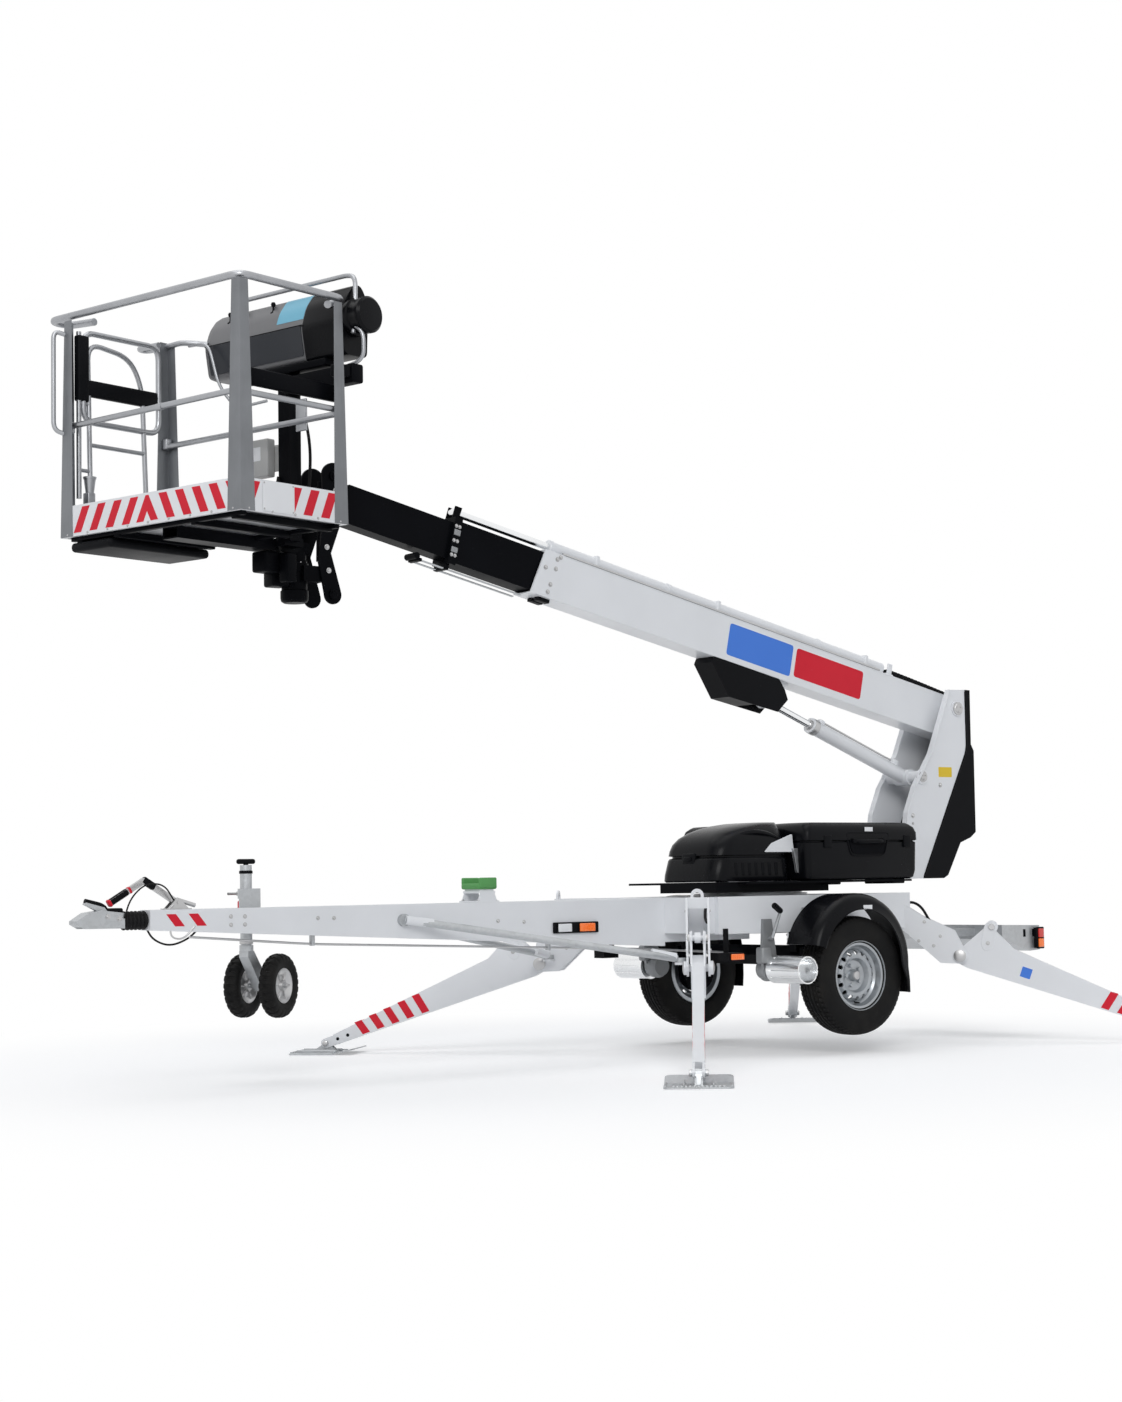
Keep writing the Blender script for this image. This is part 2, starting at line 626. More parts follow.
@dataclass(frozen=True)
class Finish:
    """One finish: its slot in the record, its colours, and how its grain, dust and gloss behave."""

    name: str
    slot: str
    base: tuple[float, float, float]
    kind: Surface = Surface.PAINT
    metal: float = 0.0
    rough: float = 0.35
    coat: float = 0.0
    gloss: float = 0.5
    second: float = 0.9
    size: float = 2.5
    mottle: float = 0.6
    dust: float = 0.12
    relief_size: float = 260.0
    relief: float = 0.05
    scuff: float = 0.15

    def material(self) -> bpy.types.Material:
        """Returns the finish's material, and builds it the first time."""
        known = bpy.data.materials.get(self.name)
        return known if known else self._build()

    def _use(self, tree: bpy.types.NodeTree, group: bpy.types.NodeTree, **values: object) -> object:
        """Places a group in a tree and sets or links its inputs by name."""
        node = tree.nodes.new("ShaderNodeGroup")
        node.node_tree = group
        for key, value in values.items():
            socket = node.inputs[key]
            if isinstance(value, (int, float, tuple)):
                socket.default_value = value
            else:
                tree.links.new(value, socket)
        return node

    def _build(self) -> bpy.types.Material:
        """Builds the node tree: two-tone base, grain, scuffs, dust, then gloss and relief."""
        mat = bpy.data.materials.new(self.name)
        mat.use_nodes = True
        mat.diffuse_color = (*self.base, 1.0)
        tree = mat.node_tree
        shader = tree.nodes["Principled BSDF"]
        shader.inputs["Metallic"].default_value = self.metal
        shader.inputs["Coat Weight"].default_value = self.coat
        shader.inputs["Specular IOR Level"].default_value = self.gloss
        shader.inputs["Coat Roughness"].default_value = COAT_ROUGH

        def rougher(rough: object, mask: object, share: float) -> object:
            """Returns the roughness raised by a share of a mask."""
            return Recipes.times(tree, rough, Recipes.times(tree, mask, share), "ADD")

        base = (*self.base, 1.0)
        second = (*(c * self.second for c in self.base), 1.0)
        tone = self._use(tree, Recipes.mottle(), Colour=base, Second=second, Size=self.size,
                         Amount=self.mottle)
        colour, rough = tone.outputs["Colour"], Recipes.times(tree, tone.outputs["Mask"], CLOUD_ROUGH)
        if self.kind is Surface.ZINC:
            flakes = self._use(tree, Recipes.spangle(), Size=FLAKE_SIZE)
            pale = (*(min(1.0, c * FLAKE_PALE) for c in self.base), 1.0)
            colour = Recipes.blend(tree, flakes.outputs["Shade"], colour, pale)
            rough = rougher(rough, flakes.outputs["Shade"], FLAKE_ROUGH)
        if self.kind is Surface.BRUSHED:
            lines = Recipes.noise(tree, LINE_SIZE, 3.0, LINE_STRETCH)
            rough = rougher(rough, lines, LINE_ROUGH)
        if self.kind in (Surface.PAINT, Surface.MOULDED):
            marks = self._use(tree, Recipes.scuffs(), Amount=self.scuff)
            worn = (*(0.5 * c + 0.2 for c in self.base), 1.0)
            colour = Recipes.blend(tree, marks.outputs["Mask"], colour, worn)
            rough = rougher(rough, marks.outputs["Mask"], SCUFF_ROUGH)
        dusty = self._use(tree, Recipes.settled(), Colour=colour, Amount=self.dust)
        rough = rougher(rough, dusty.outputs["Mask"], DUST_ROUGH)
        tree.links.new(dusty.outputs["Colour"], shader.inputs["Base Color"])
        tree.links.new(Recipes.times(tree, rough, self.rough, "ADD"), shader.inputs["Roughness"])
        if self.relief:
            height = self._use(tree, Recipes.relief(), Size=self.relief_size, Depth=1.0)
            bump = tree.nodes.new("ShaderNodeBump")
            bump.inputs["Strength"].default_value = self.relief
            bump.inputs["Distance"].default_value = BUMP_DISTANCE
            tree.links.new(height.outputs["Height"], bump.inputs["Height"])
            tree.links.new(bump.outputs["Normal"], shader.inputs["Normal"])
        if self.kind is Surface.LENS:
            shader.inputs["Emission Color"].default_value = base
            shader.inputs["Emission Strength"].default_value = LENS_GLOW
        return mat


WHITE = Finish("white_enamel", "white_paint", (0.83, 0.845, 0.87), rough=0.30, coat=0.25, gloss=0.4,
               second=0.94, dust=0.03, scuff=0.06)
BLACK = Finish("black_enamel", "black_paint", (0.0035, 0.0038, 0.005), rough=0.34, gloss=0.03, second=1.5,
               dust=0.004, scuff=0.02)
GALV = Finish("dipped_zinc", "galvanised", (0.43, 0.445, 0.46), Surface.ZINC, metal=0.85, rough=0.32,
              dust=0.10)
STEEL = Finish("zinc_plate", "galvanised", (0.52, 0.52, 0.525), Surface.BRUSHED, metal=0.95, rough=0.22,
               dust=0.05)
CHROME = Finish("hard_chrome", "chrome", (0.86, 0.87, 0.88), Surface.BRUSHED, metal=1.0, rough=0.06,
                dust=0.02, relief=0.0)
ALLOY = Finish("aluminium_tube", "aluminium", (0.40, 0.41, 0.43), Surface.BRUSHED, metal=0.9, rough=0.24,
               second=0.86, size=5.0, dust=0.03, relief=0.03)
SHEET = Finish("basket_sheet", "aluminium", (0.23, 0.24, 0.255), Surface.BRUSHED, metal=0.9, rough=0.30,
               second=0.8, size=3.0, dust=0.03, relief=0.03)
CAST = Finish("cast_skin", "grey_cast", (0.30, 0.31, 0.32), Surface.PAINT, metal=0.5, rough=0.5, dust=0.2,
              relief=0.3)
MOULD = Finish("black_moulding", "black_plastic", (0.0035, 0.0038, 0.005), Surface.MOULDED, rough=0.25,
               gloss=0.10, second=1.5, dust=0.006, relief_size=420.0, relief=0.05, scuff=0.03)
MATT = Finish("matt_moulding", "black_plastic", (0.005, 0.0053, 0.0065), Surface.MOULDED, rough=0.42,
              gloss=0.06, second=1.5, dust=0.010, relief_size=420.0, relief=0.10, scuff=0.03)
RUBBER = Finish("hose_rubber", "rubber", (0.009, 0.009, 0.0095), Surface.RUBBER, rough=0.5, gloss=0.1,
                second=1.4, dust=0.02, relief=0.08)
TYRE = Finish("tyre_rubber", "tyre", (0.007, 0.007, 0.0072), Surface.RUBBER, rough=0.55, gloss=0.1,
              second=1.7, size=6.0, dust=0.03, relief=0.12)
WHEEL = Finish("wheel_silver", "wheel_grey", (0.40, 0.425, 0.45), metal=0.6, rough=0.28, coat=0.3, dust=0.12)
RED = Finish("red_film", "board_white", (0.70, 0.012, 0.032), rough=0.34, gloss=0.25, second=0.88,
             dust=0.03, relief=0.02)
PALE = Finish("white_film", "board_white", (0.84, 0.85, 0.87), rough=0.30, second=0.95, dust=0.05,
              relief=0.02)
YELLOW = Finish("yellow_film", "board_white", (0.80, 0.56, 0.02), rough=0.35, second=0.92, dust=0.05,
                relief=0.02)
BLUE = Finish("blue_film", "board_white", (0.045, 0.20, 0.74), rough=0.32, second=0.95, dust=0.02,
              relief=0.02)
PALE_BLUE = Finish("pale_blue_film", "grey_plastic", (0.16, 0.46, 0.62), rough=0.3, second=0.9, dust=0.02)
PALE_GREY = Finish("pale_grey_box", "grey_plastic", (0.50, 0.50, 0.49), Surface.MOULDED, rough=0.45,
                   second=0.92)
SHELL = Finish("console_grey", "grey_plastic", (0.150, 0.150, 0.156), Surface.MOULDED, rough=0.38,
               second=1.15, relief=0.12, dust=0.03)
PANEL = Finish("console_face", "grey_plastic", (0.030, 0.033, 0.040), Surface.MOULDED, rough=0.30,
               gloss=0.3, relief=0.05, dust=0.02)
RED_LENS = Finish("red_lens", "lamp_red", (0.55, 0.016, 0.01), Surface.LENS, rough=0.10, coat=0.8, dust=0.0,
                  relief=0.0)
AMBER_LENS = Finish("amber_lens", "lamp_red", (0.85, 0.16, 0.01), Surface.LENS, rough=0.10, coat=0.8,
                    dust=0.0, relief=0.0)
GREEN = Finish("green_rest", "rubber", (0.10, 0.36, 0.10), Surface.RUBBER, rough=0.55, second=0.85,
               relief=0.2)


@dataclass
class RoadWheel:
    """A road tyre with its tread, and the small fittings of its steel wheel."""

    axle_z: float = 0.431
    radius: float = 0.334
    half: float = 0.095
    bead: float = 0.179
    track: float = 0.705
    blocks: int = 64
    flat: float = 0.080
    drop: float = 0.011
    shoulder: float = 0.030
    groove: float = 0.0072
    sipe: float = 0.003
    cut: float = 0.17

    def tyre(self, side: int) -> Shape:
        """Makes the tyre.

        A grid of angle and place on the section. The section is two bulged walls and
        a shallow crown; where the crown lies between grooves the radius stays, and in
        a groove, found from the place across and the angle, it drops.

        Args:
            side: 1 for the left wheel, -1 for the right one.

        Returns:
            The closed tyre.
        """
        across = np.linspace(-self.flat, self.flat, 47)
        crown = self.radius - 0.0014 - self.drop * (np.abs(across) / self.flat) ** 3.2
        wall_a = np.linspace(0.30, 2.75, 13)
        wall_r = self.bead + 0.018 + (self.radius - 0.018 - self.bead - 0.018) * (1 + np.cos(wall_a)) / 2
        wall_y = 0.076 + (self.half - 0.076) * np.sin(wall_a) ** 0.8
        wall_r[3:5] += 0.0015
        inner_r = np.array([self.bead + 0.016, self.bead + 0.003, self.bead + 0.001])
        inner_y = np.array([0.078, 0.068, 0.060])
        r = np.concatenate([inner_r[::-1], wall_r[::-1], crown, wall_r, inner_r])
        y = np.concatenate([-inner_y[::-1], -wall_y[::-1], across, wall_y, inner_y])
        count = self.blocks * 6
        angle = np.linspace(0, 2 * np.pi, count, endpoint=False)[:, None]
        on_crown = np.zeros_like(r, bool)
        first = len(inner_r) + len(wall_r)
        on_crown[first:first + len(across)] = True
        ribs = np.zeros_like(r)
        for centre, half in ((0.0, 0.0035), (0.026, 0.0038), (0.051, 0.0035)):
            ribs += np.abs(np.abs(y) - centre) < half
        phase = (angle * self.blocks / (2 * np.pi) + 9.0 * np.abs(y)) % 1.0
        cuts = (phase < self.cut) & (np.abs(y) > self.shoulder)
        fine = ((phase * 2) % 1.0 < self.cut) & (np.abs(y) <= self.shoulder)
        depth = self.groove * np.clip(ribs + cuts, 0, 1) + self.sipe * fine * (ribs == 0)
        radius = r - np.where(on_crown, depth, 0.0)
        spot = np.stack([radius * np.cos(angle), radius * np.sin(angle), y + 0 * angle], -1)
        place = MACHINE.moved(0, side * self.track, self.axle_z).facing((1, 0, 0), (0, 0, 1))
        return surface(place.put(spot), wrap_u=True, wrap_v=True)

    def build(self) -> None:
        """Makes both tyres, and each wheel's valve and balance clip."""
        for name, side in SIDES:
            body = "wheel_" + name
            piece("road_tyre_" + name, self.tyre(side), TYRE, body, ("tyre_" + name,), smooth=30)
            face = MACHINE.moved(0, side * self.track, self.axle_z).facing((1, 0, 0), (0, 0, -side))
            valve = lathe([(0, 0.034), (0.004, 0.034), (0.005, 0.0), (0.009, -0.012), (0, -0.012)],
                          face.moved(0.0, 0.152, 0.028), 12)
            piece("valve_" + name, valve, RUBBER, body)
            cap = lathe([(0, 0.056), (0.012, 0.0555), (0.022, 0.052), (0.027, 0.045), (0.0275, 0.040),
                         (0, 0.040)], face, 32)
            piece("hub_cap_" + name, cap, STEEL, body)


@dataclass
class Mudguards:
    """Moulded mudguards: a crowned channel with a deep rounded edge round each tyre, and a flap."""

    x: float = 0.020
    z: float = 0.510
    radius: float = 0.380
    inner: float = 0.598
    outer: float = 0.838

    def guard(self, side: int) -> Shape:
        """Makes one guard: its section is carried round the arc and straight down into the flap."""
        steps = 46
        a = np.radians(np.linspace(16.0, 180.0, steps))
        line = np.vstack([np.stack([np.cos(a), np.sin(a)], -1),
                          [[-1.0, -0.10], [-1.0, -0.30], [-0.985, -0.484]]])
        skirt = np.concatenate([np.clip(np.linspace(0.86, 1.5, steps), 0, 1), [0.9, 0.55, 0.4]])
        low, high = self.inner, self.outer
        o = np.array([(low, 0.0), (high - 0.075, 0.002), (high - 0.050, 0.0), (high - 0.026, -0.010),
                      (high - 0.008, -0.026), (high, -0.046), (high + 0.001, -0.082),
                      (high + 0.005, -0.086), (high - 0.001, -0.091), (high - 0.006, -0.083),
                      (high - 0.006, -0.048), (high - 0.014, -0.031), (high - 0.030, -0.016),
                      (high - 0.052, -0.006), (high - 0.075, -0.004), (low, -0.006)])
        drop = np.where(o[None, :, 1] < -0.03, o[None, :, 1] * skirt[:, None], o[None, :, 1])
        reach = self.radius + drop
        rows = np.stack([line[:, :1] * reach, o[None, :, 0] * side + 0 * reach, line[:, 1:] * reach], -1)
        rows[-3:, :, 2] = line[-3:, 1:] * self.radius
        return surface(MACHINE.moved(self.x, 0, self.z).put(rows), wrap_v=True, capped=True)

    def build(self) -> None:
        """Makes both guards, their stays and a small plate on each guard."""
        stays, plates = [], []
        for _, side in SIDES:
            lo, hi = sorted((side * 0.501, side * 0.640))
            stays += [block((x - 0.022, lo, 0.806), (x + 0.022, hi, 0.816), 0.003) for x in (-0.165, 0.155)]
        guards = [self.guard(side) for _, side in SIDES]
        piece("mudguards", guards, MOULD, "chassis", ("fenders",), smooth=50)
        piece("guard_stays", stays, GALV, "chassis")
        for _, side in SIDES:
            at = MACHINE.moved(self.x - 0.035, side * self.outer, self.z + 0.302).wall(side)
            plates.append(block((-0.034, -0.012, -0.004), (0.034, 0.012, 0.004), 0.003, at))
        piece("guard_plates", plates, PALE, "chassis")


@dataclass
class SideBoxes:
    """Moulded boxes on both sides of the turret, each with a lid, latch rim and handle."""

    x0: float = -0.736
    x1: float = 0.166
    y0: float = 0.200
    y1: float = 0.550
    floor: float = 0.966
    seam: float = 1.190
    top: float = 1.298

    def shell(self, side: int) -> Shape:
        """Makes the tub, the neck in the groove and the lid, each a loft of round-cornered rings."""

        def stack(*levels: tuple[float, float, float]) -> Shape:
            """Lofts the box's outline through levels of inset, corner radius and height."""
            rings = []
            for inset, radius, _ in levels:
                lo, hi = sorted((side * (self.y0 + inset * 0.4), side * (self.y1 - inset)))
                rings.append(ring(self.x0 + inset, self.x1 - inset, lo, hi, radius))
            return loft(rings, [height for _, _, height in levels], MACHINE)

        low, seam, top = self.floor, self.seam, self.top
        tub = stack((0.034, 0.03, low), (0.016, 0.035, low + 0.012), (0.008, 0.035, low + 0.05),
                    (0.004, 0.035, seam - 0.010), (0.010, 0.034, seam - 0.006))
        neck = stack((0.014, 0.033, seam - 0.008), (0.014, 0.033, seam + 0.006))
        lid = stack((0.006, 0.035, seam), (-0.001, 0.036, seam + 0.004), (0.0, 0.036, seam + 0.045),
                    (0.010, 0.04, seam + 0.078), (0.026, 0.045, top - 0.014), (0.040, 0.05, top - 0.004),
                    (0.075, 0.06, top - 0.001))
        return Shape.joined([tub, neck, lid])

    def build(self) -> None:
        """Makes both boxes and their fittings."""
        for name, side in SIDES:
            node = "toolbox" if side > 0 else "side_cabinet"
            piece("box_shell_" + name, self.shell(side), MOULD, "turret", (node,), smooth=40)
            face = MACHINE.moved(-0.318, side * (self.y1 - 0.003), 0).wall(side)
            rim = rounded([(-0.175, 1.236), (0.175, 1.236), (0.135, 1.105), (-0.135, 1.105)], 0.03, True)
            frame = sweep(face.put(np.column_stack([rim, np.zeros(len(rim))])), circle(0.0055, 8), True)
            well = slab(rounded([(-0.160, 1.228), (0.160, 1.228), (0.125, 1.113), (-0.125, 1.113)], 0.03,
                                True), -0.01, 0.0025, face)
            grip = tube([(-0.105, 1.19, 0.004), (-0.092, 1.185, 0.024), (0.092, 1.185, 0.024),
                         (0.105, 1.19, 0.004)], 0.024, face, 0.02)
            studs = [block((x - 0.012, 1.176, -0.004), (x + 0.012, 1.203, 0.020), 0.004, face)
                     for x in (-0.118, 0.118)]
            piece("box_handle_" + name, [frame, grip] + studs, MATT, "turret")
            piece("box_recess_" + name, well, BLACK, "turret")
            latches = [block((x - 0.03, 1.150, -0.003), (x + 0.03, 1.222, 0.010), 0.006, face)
                       for x in (-0.32, 0.32)]
            piece("box_latches_" + name, latches, MATT, "turret")
            plate = block((-0.022, 1.243, 0.0), (0.042, 1.268, 0.0022), 0.0008, face)
            piece("box_plate_" + name, plate, PALE, "turret")
            feet = [block((x - 0.05, side * 0.375 - 0.12, 0.940), (x + 0.05, side * 0.375 + 0.12, 0.972),
                          0.008) for x in (-0.62, -0.10)]
            piece("box_feet_" + name, feet, MATT, "turret")


@dataclass
class Bonnet:
    """The moulded engine cover ahead of the left box: a tub and a swept lid."""

    x0: float = 0.175

    def cover(self) -> Shape:
        """Lofts round-cornered rings whose front runs back as they rise, with a groove at the seam."""
        rings, heights = [], []
        for z, front, y0, y1, radius in (
                (0.967, 0.760, -0.040, 0.440, 0.085), (0.976, 0.770, -0.048, 0.448, 0.09),
                (1.010, 0.768, -0.048, 0.449, 0.095), (1.090, 0.748, -0.044, 0.446, 0.10),
                (1.100, 0.742, -0.040, 0.442, 0.10), (1.104, 0.728, -0.030, 0.432, 0.10),
                (1.112, 0.728, -0.030, 0.432, 0.10), (1.116, 0.744, -0.044, 0.444, 0.10),
                (1.145, 0.738, -0.044, 0.444, 0.105), (1.180, 0.722, -0.040, 0.440, 0.11),
                (1.215, 0.690, -0.030, 0.432, 0.12), (1.245, 0.640, -0.012, 0.418, 0.13),
                (1.268, 0.575, 0.006, 0.400, 0.13), (1.286, 0.490, 0.026, 0.380, 0.12),
                (1.297, 0.400, 0.050, 0.352, 0.09), (1.301, 0.330, 0.070, 0.330, 0.06)):
            rings.append(ring(self.x0, front, y0, y1, min(radius, (front - self.x0) / 2.2), 8))
            heights.append(z)
        return loft(rings, heights, MACHINE)

    def build(self) -> None:
        """Makes the bonnet, its raised side line, latch, vents, side bracket and strap."""
        piece("bonnet_skin", self.cover(), MOULD, "turret", ("engine_hood",), smooth=50)
        t = np.linspace(0, 1, 24)
        side_line = np.stack([0.20 + 0.49 * t, 0.430 - 0.05 * t ** 3,
                              1.155 + 0.09 * np.sin(np.pi * t) ** 0.7], -1)
        bead = sweep(MACHINE.put(side_line), circle(0.011, 10), scale=0.25 + np.sin(np.pi * t))
        front = MACHINE.moved(0.742, 0.20, 1.10).facing((0, 1, 0), (0, 0, 1))
        latch = [block((-0.055, -0.035, -0.02), (0.055, 0.030, 0.012), 0.010, front),
                 block((-0.03, -0.015, 0.0), (0.03, 0.010, 0.022), 0.006, front)]
        slots = [block((0.30 + i * 0.05, 0.437, 1.000), (0.325 + i * 0.05, 0.452, 1.075), 0.006)
                 for i in range(7)]
        piece("bonnet_trim", latch + slots, MATT, "turret", smooth=50)
        piece("bonnet_brow", bead, MOULD, "turret")
        side = MACHINE.moved(0, 0.4445, 0).facing((1, 0, 0), (0, 0, 1))
        outline = rounded([(0.175, 1.130), (0.400, 1.130), (0.345, 1.180), (0.185, 1.232)], 0.012, True)
        piece("bonnet_bracket", slab(outline, 0.0, -0.006, side), WHITE, "turret", bevel=0.001)
        strap = rounded([(0.120, 1.010), (0.166, 1.010), (0.196, 1.150), (0.150, 1.150)], 0.008, True)
        piece("bonnet_strap", slab(strap, -0.02, 0.0, side.moved(z=-0.004)), GALV, "turret", bevel=0.001)


@dataclass
class Tower:
    """Fittings of the tower: pin caps, bolts, the cover's edge and ribs, a blank film, two hoses."""

    face: float = 0.142

    def build(self) -> None:
        """Makes the tower's fittings on both sides."""
        caps, bolts, rims = [], [], []
        for _, side in SIDES:
            here = MACHINE.moved(0, side * self.face, 0).wall(side)
            flip = -side
            for (x, z), r in ((BOOM_PIVOT, 0.040), (LIFT_PIVOT, 0.034)):
                at = here.moved(flip * x, z, 0.012)
                caps.append(lathe([(0, 0.010), (r * 0.72, 0.010), (r * 0.8, 0.006), (r, 0.005), (r, -0.004),
                                   (0, -0.004)], at, 32))
                ring_bolts = [(flip * x + r * 0.5 * math.cos(a), z + r * 0.5 * math.sin(a), 0.021)
                              for a in (0.5, 2.6, 4.7)]
                bolts.append(bolt_heads(ring_bolts, here, 0.012, 0.006))
            rows = [(flip * x, z, 0.0) for x, z in ((-1.115, 1.35), (-1.364, 1.54))]
            bolts.append(bolt_heads(rows, here, 0.021, 0.009))
            bolts.append(bolt_heads([(flip * -1.114, z, 0.0) for z in (1.303, 1.262)], here, 0.012, 0.006))
            cover = [(flip * x, z) for x, z in ((-1.197, 0.975), (-1.610, 1.763), (-1.610, 2.13))]
            edge = np.column_stack([rounded(cover, 0.05), np.full(9, 0.001)])
            rims.append(sweep(here.put(edge), circle(0.006, 8)))
            if side > 0:
                film = rounded([(flip * -1.352, 1.590), (flip * -1.352, 1.652), (flip * -1.470, 1.652),
                                (flip * -1.470, 1.590)], 0.006, True)
                piece("tower_yellow_film", slab(film, 0.0, 0.0006, here), YELLOW, "turret")
        piece("tower_pin_caps", caps, STEEL, "turret")
        piece("tower_bolts", bolts, STEEL, "turret")
        piece("cover_beads", rims, MATT, "turret")
        ribs = [block((-1.682, y - 0.020, 1.26), (-1.668, y + 0.020, 1.74), 0.005)
                for y in (-0.080, -0.014, 0.052)]
        piece("cover_ribs", ribs, MATT, "turret")
        hose("tower_hose_outer", [(-1.12, 0.060, 1.08), (-1.22, 0.060, 1.30), (-1.40, 0.055, 1.62),
                                  (-1.535, 0.05, 1.834)], 0.022, RUBBER, "turret", bend=0.12)
        hose("tower_hose_inner", [(-1.10, -0.02, 1.08), (-1.20, -0.02, 1.34), (-1.36, -0.02, 1.60),
                                  (-1.51, -0.02, 1.838)], 0.026, RUBBER, "turret", bend=0.12)


@dataclass
class Boom:
    """Fittings of the telescopic boom, in the boom's own frame: X along it from the pivot."""

    nose: float = 3.250
    top: float = 0.080
    low: float = -0.182
    half: float = 0.075
    collar: float = 3.865

    def outer(self) -> None:
        """Dresses the outer section: bolts, welds, blank panels, pads, clips, pipes and cable chain."""
        bolts, welds = [], []
        for _, side in SIDES:
            here, flip = BOOM.moved(y=side * (self.half + 0.005)).wall(side), -side
            spots = [(3.165, 0.045), (3.165, -0.010), (3.185, -0.105), (3.195, -0.150), (3.235, -0.020),
                     (3.145, 0.062)]
            bolts.append(bolt_heads([(flip * s, t, 0.0) for s, t in spots], here, 0.019, 0.009))
            for t in (self.top - 0.004, self.low + 0.004):
                line = np.array([[flip * s, t, -0.0055] for s in np.linspace(0.02, 3.11, 60)])
                welds.append(sweep(here.put(line), circle(0.003, 6)))
        piece("boom_nose_bolts", bolts, STEEL, "boom")
        piece("boom_weld_beads", welds, WHITE, "boom")
        near = BOOM.moved(y=self.half).wall(1)
        for name, s0, s1, t0, t1, tint in (("blue", 1.355, 1.865, -0.145, 0.045, BLUE),
                                           ("red", 0.765, 1.325, -0.135, 0.040, RED)):
            film = rounded([(-s0, t0), (-s0, t1), (-s1, t1), (-s1, t0)], 0.02, True)
            piece(f"boom_{name}_film", slab(film, 0.0, 0.0007, near), tint, "boom")
        pads = [block((self.nose - 0.10, s * 0.030 - 0.022, self.low - 0.020),
                      (self.nose - 0.02, s * 0.030 + 0.022, self.low + 0.002), 0.004, BOOM) for s in (-1, 1)]
        piece("nose_wear_pads", pads, MATT, "boom")
        clips = [block((s - 0.012, -0.042, self.top + 0.001), (s + 0.012, 0.042, self.top + 0.081), 0.006,
                       BOOM) for s in (0.72, 1.94, 2.86)]
        piece("cylinder_clips", clips, WHITE, "boom", bevel=0.0008)
        pipe = [tube([(0.62, y, self.top + 0.012), (3.12, y, self.top + 0.012)], 0.014, BOOM)
                for y in (0.058, -0.058)]
        piece("boom_oil_pipes", pipe, STEEL, "boom")
        links = []
        for s in np.linspace(-0.01, 0.50, 18):
            rise = 0.020 + 0.012 * math.sin(3.0 * s)
            links.append(block((s, -0.034, self.top + 0.002), (s + 0.026, 0.034, self.top + rise + 0.014),
                               0.004, BOOM))
        piece("cable_chain", links, MATT, "boom")
        bracket = [block((0.50, -0.060, self.top), (0.56, 0.060, self.top + 0.012), 0.003, BOOM),
                   *(block((0.512, y - 0.006, self.top + 0.005), (0.548, y + 0.006, self.top + 0.075),
                           0.003, BOOM) for y in (-0.052, 0.052))]
        piece("cylinder_anchor", bracket, WHITE, "boom", bevel=0.001)

    def stages(self) -> None:
        """Dresses the telescoping sections: collar pads and bolts, and the cable guides below."""
        pads, bolts = [], []
        for _, side in SIDES:
            here, flip = BOOM.moved(y=side * self.half).wall(side), -side
            bolts.append(bolt_heads([(flip * s, t, 0.0) for s in (3.829, 3.851)
                                     for t in (-0.13, -0.05, 0.03)], here, 0.014, 0.007))
            y = side * (self.half + 0.0005)
            pads += [block((self.collar - 0.046, y - 0.004, low), (self.collar - 0.006, y + 0.004, high),
                           0.002, BOOM) for low, high in ((-0.115, -0.085), (-0.02, 0.012))]
        piece("collar_bolts", bolts, STEEL, "boom_stage_2")
        piece("collar_pads", pads, CAST, "boom_stage_2")
        strips = [block((3.34, y - 0.010, -0.209), (4.03, y + 0.010, -0.203), 0.002, BOOM)
                  for y in (-0.036, 0.036)]
        carrier = [block((3.84, -0.055, -0.212), (3.866, 0.055, -0.165), 0.004, BOOM),
                   block((4.01, -0.050, -0.214), (4.035, 0.050, -0.196), 0.004, BOOM),
                   lathe([(0, 0.05), (0.018, 0.05), (0.018, -0.05), (0, -0.05)],
                         BOOM.moved(4.045, 0, -0.190).facing((1, 0, 0), (0, 0, 1)), 20)]
        piece("cable_guides", strips, GALV, "boom_stage_2")
        piece("guide_carrier", carrier, BLACK, "boom_stage_2", bevel=0.001)

    def build(self) -> None:
        """Makes every fitting of the boom."""
        self.outer()
        self.stages()


@dataclass
class LiftCylinder:
    """Fittings of the lift cylinder: gland ring, ports, their bolts and a feed pipe."""

    tilt: float = math.atan2(0.440, 1.150)

    def build(self) -> None:
        """Makes the gland, the port blocks and a feed pipe along the barrel."""
        c, s = math.cos(self.tilt), math.sin(self.tilt)
        axis = MACHINE.moved(LIFT_PIVOT[0], 0, LIFT_PIVOT[1]).facing((c, 0, s), (0, 1, 0))
        along = axis.facing((0, 1, 0), (0, 0, 1))
        gland = [lathe([(0, 0.856), (0.034, 0.856), (0.040, 0.852), (0.0485, 0.848), (0.0495, 0.838),
                        (0.0495, 0.812), (0.0485, 0.806), (0, 0.806)], along, 40),
                 lathe([(0, 0.870), (0.029, 0.870), (0.031, 0.855), (0, 0.855)], along, 32)]
        piece("lift_gland", gland, STEEL, "lift_barrel")
        ports = [block((0.10, -0.022, 0.036), (0.15, 0.022, 0.070), 0.005, axis),
                 block((0.755, -0.018, 0.036), (0.795, 0.018, 0.064), 0.005, axis)]
        piece("lift_ports", ports, WHITE, "lift_barrel", bevel=0.001)
        pipe = tube([(0.15, 0.0, 0.058), (0.20, 0.0, 0.056), (0.755, 0.0, 0.056)], 0.012, axis, 0.02)
        piece("lift_pipe", pipe, STEEL, "lift_barrel")
        bolts = bolt_heads([(x, y, 0.070) for x in (0.112, 0.138) for y in (-0.012, 0.012)], axis, 0.009,
                           0.005)
        piece("port_bolts", bolts, STEEL, "lift_barrel")


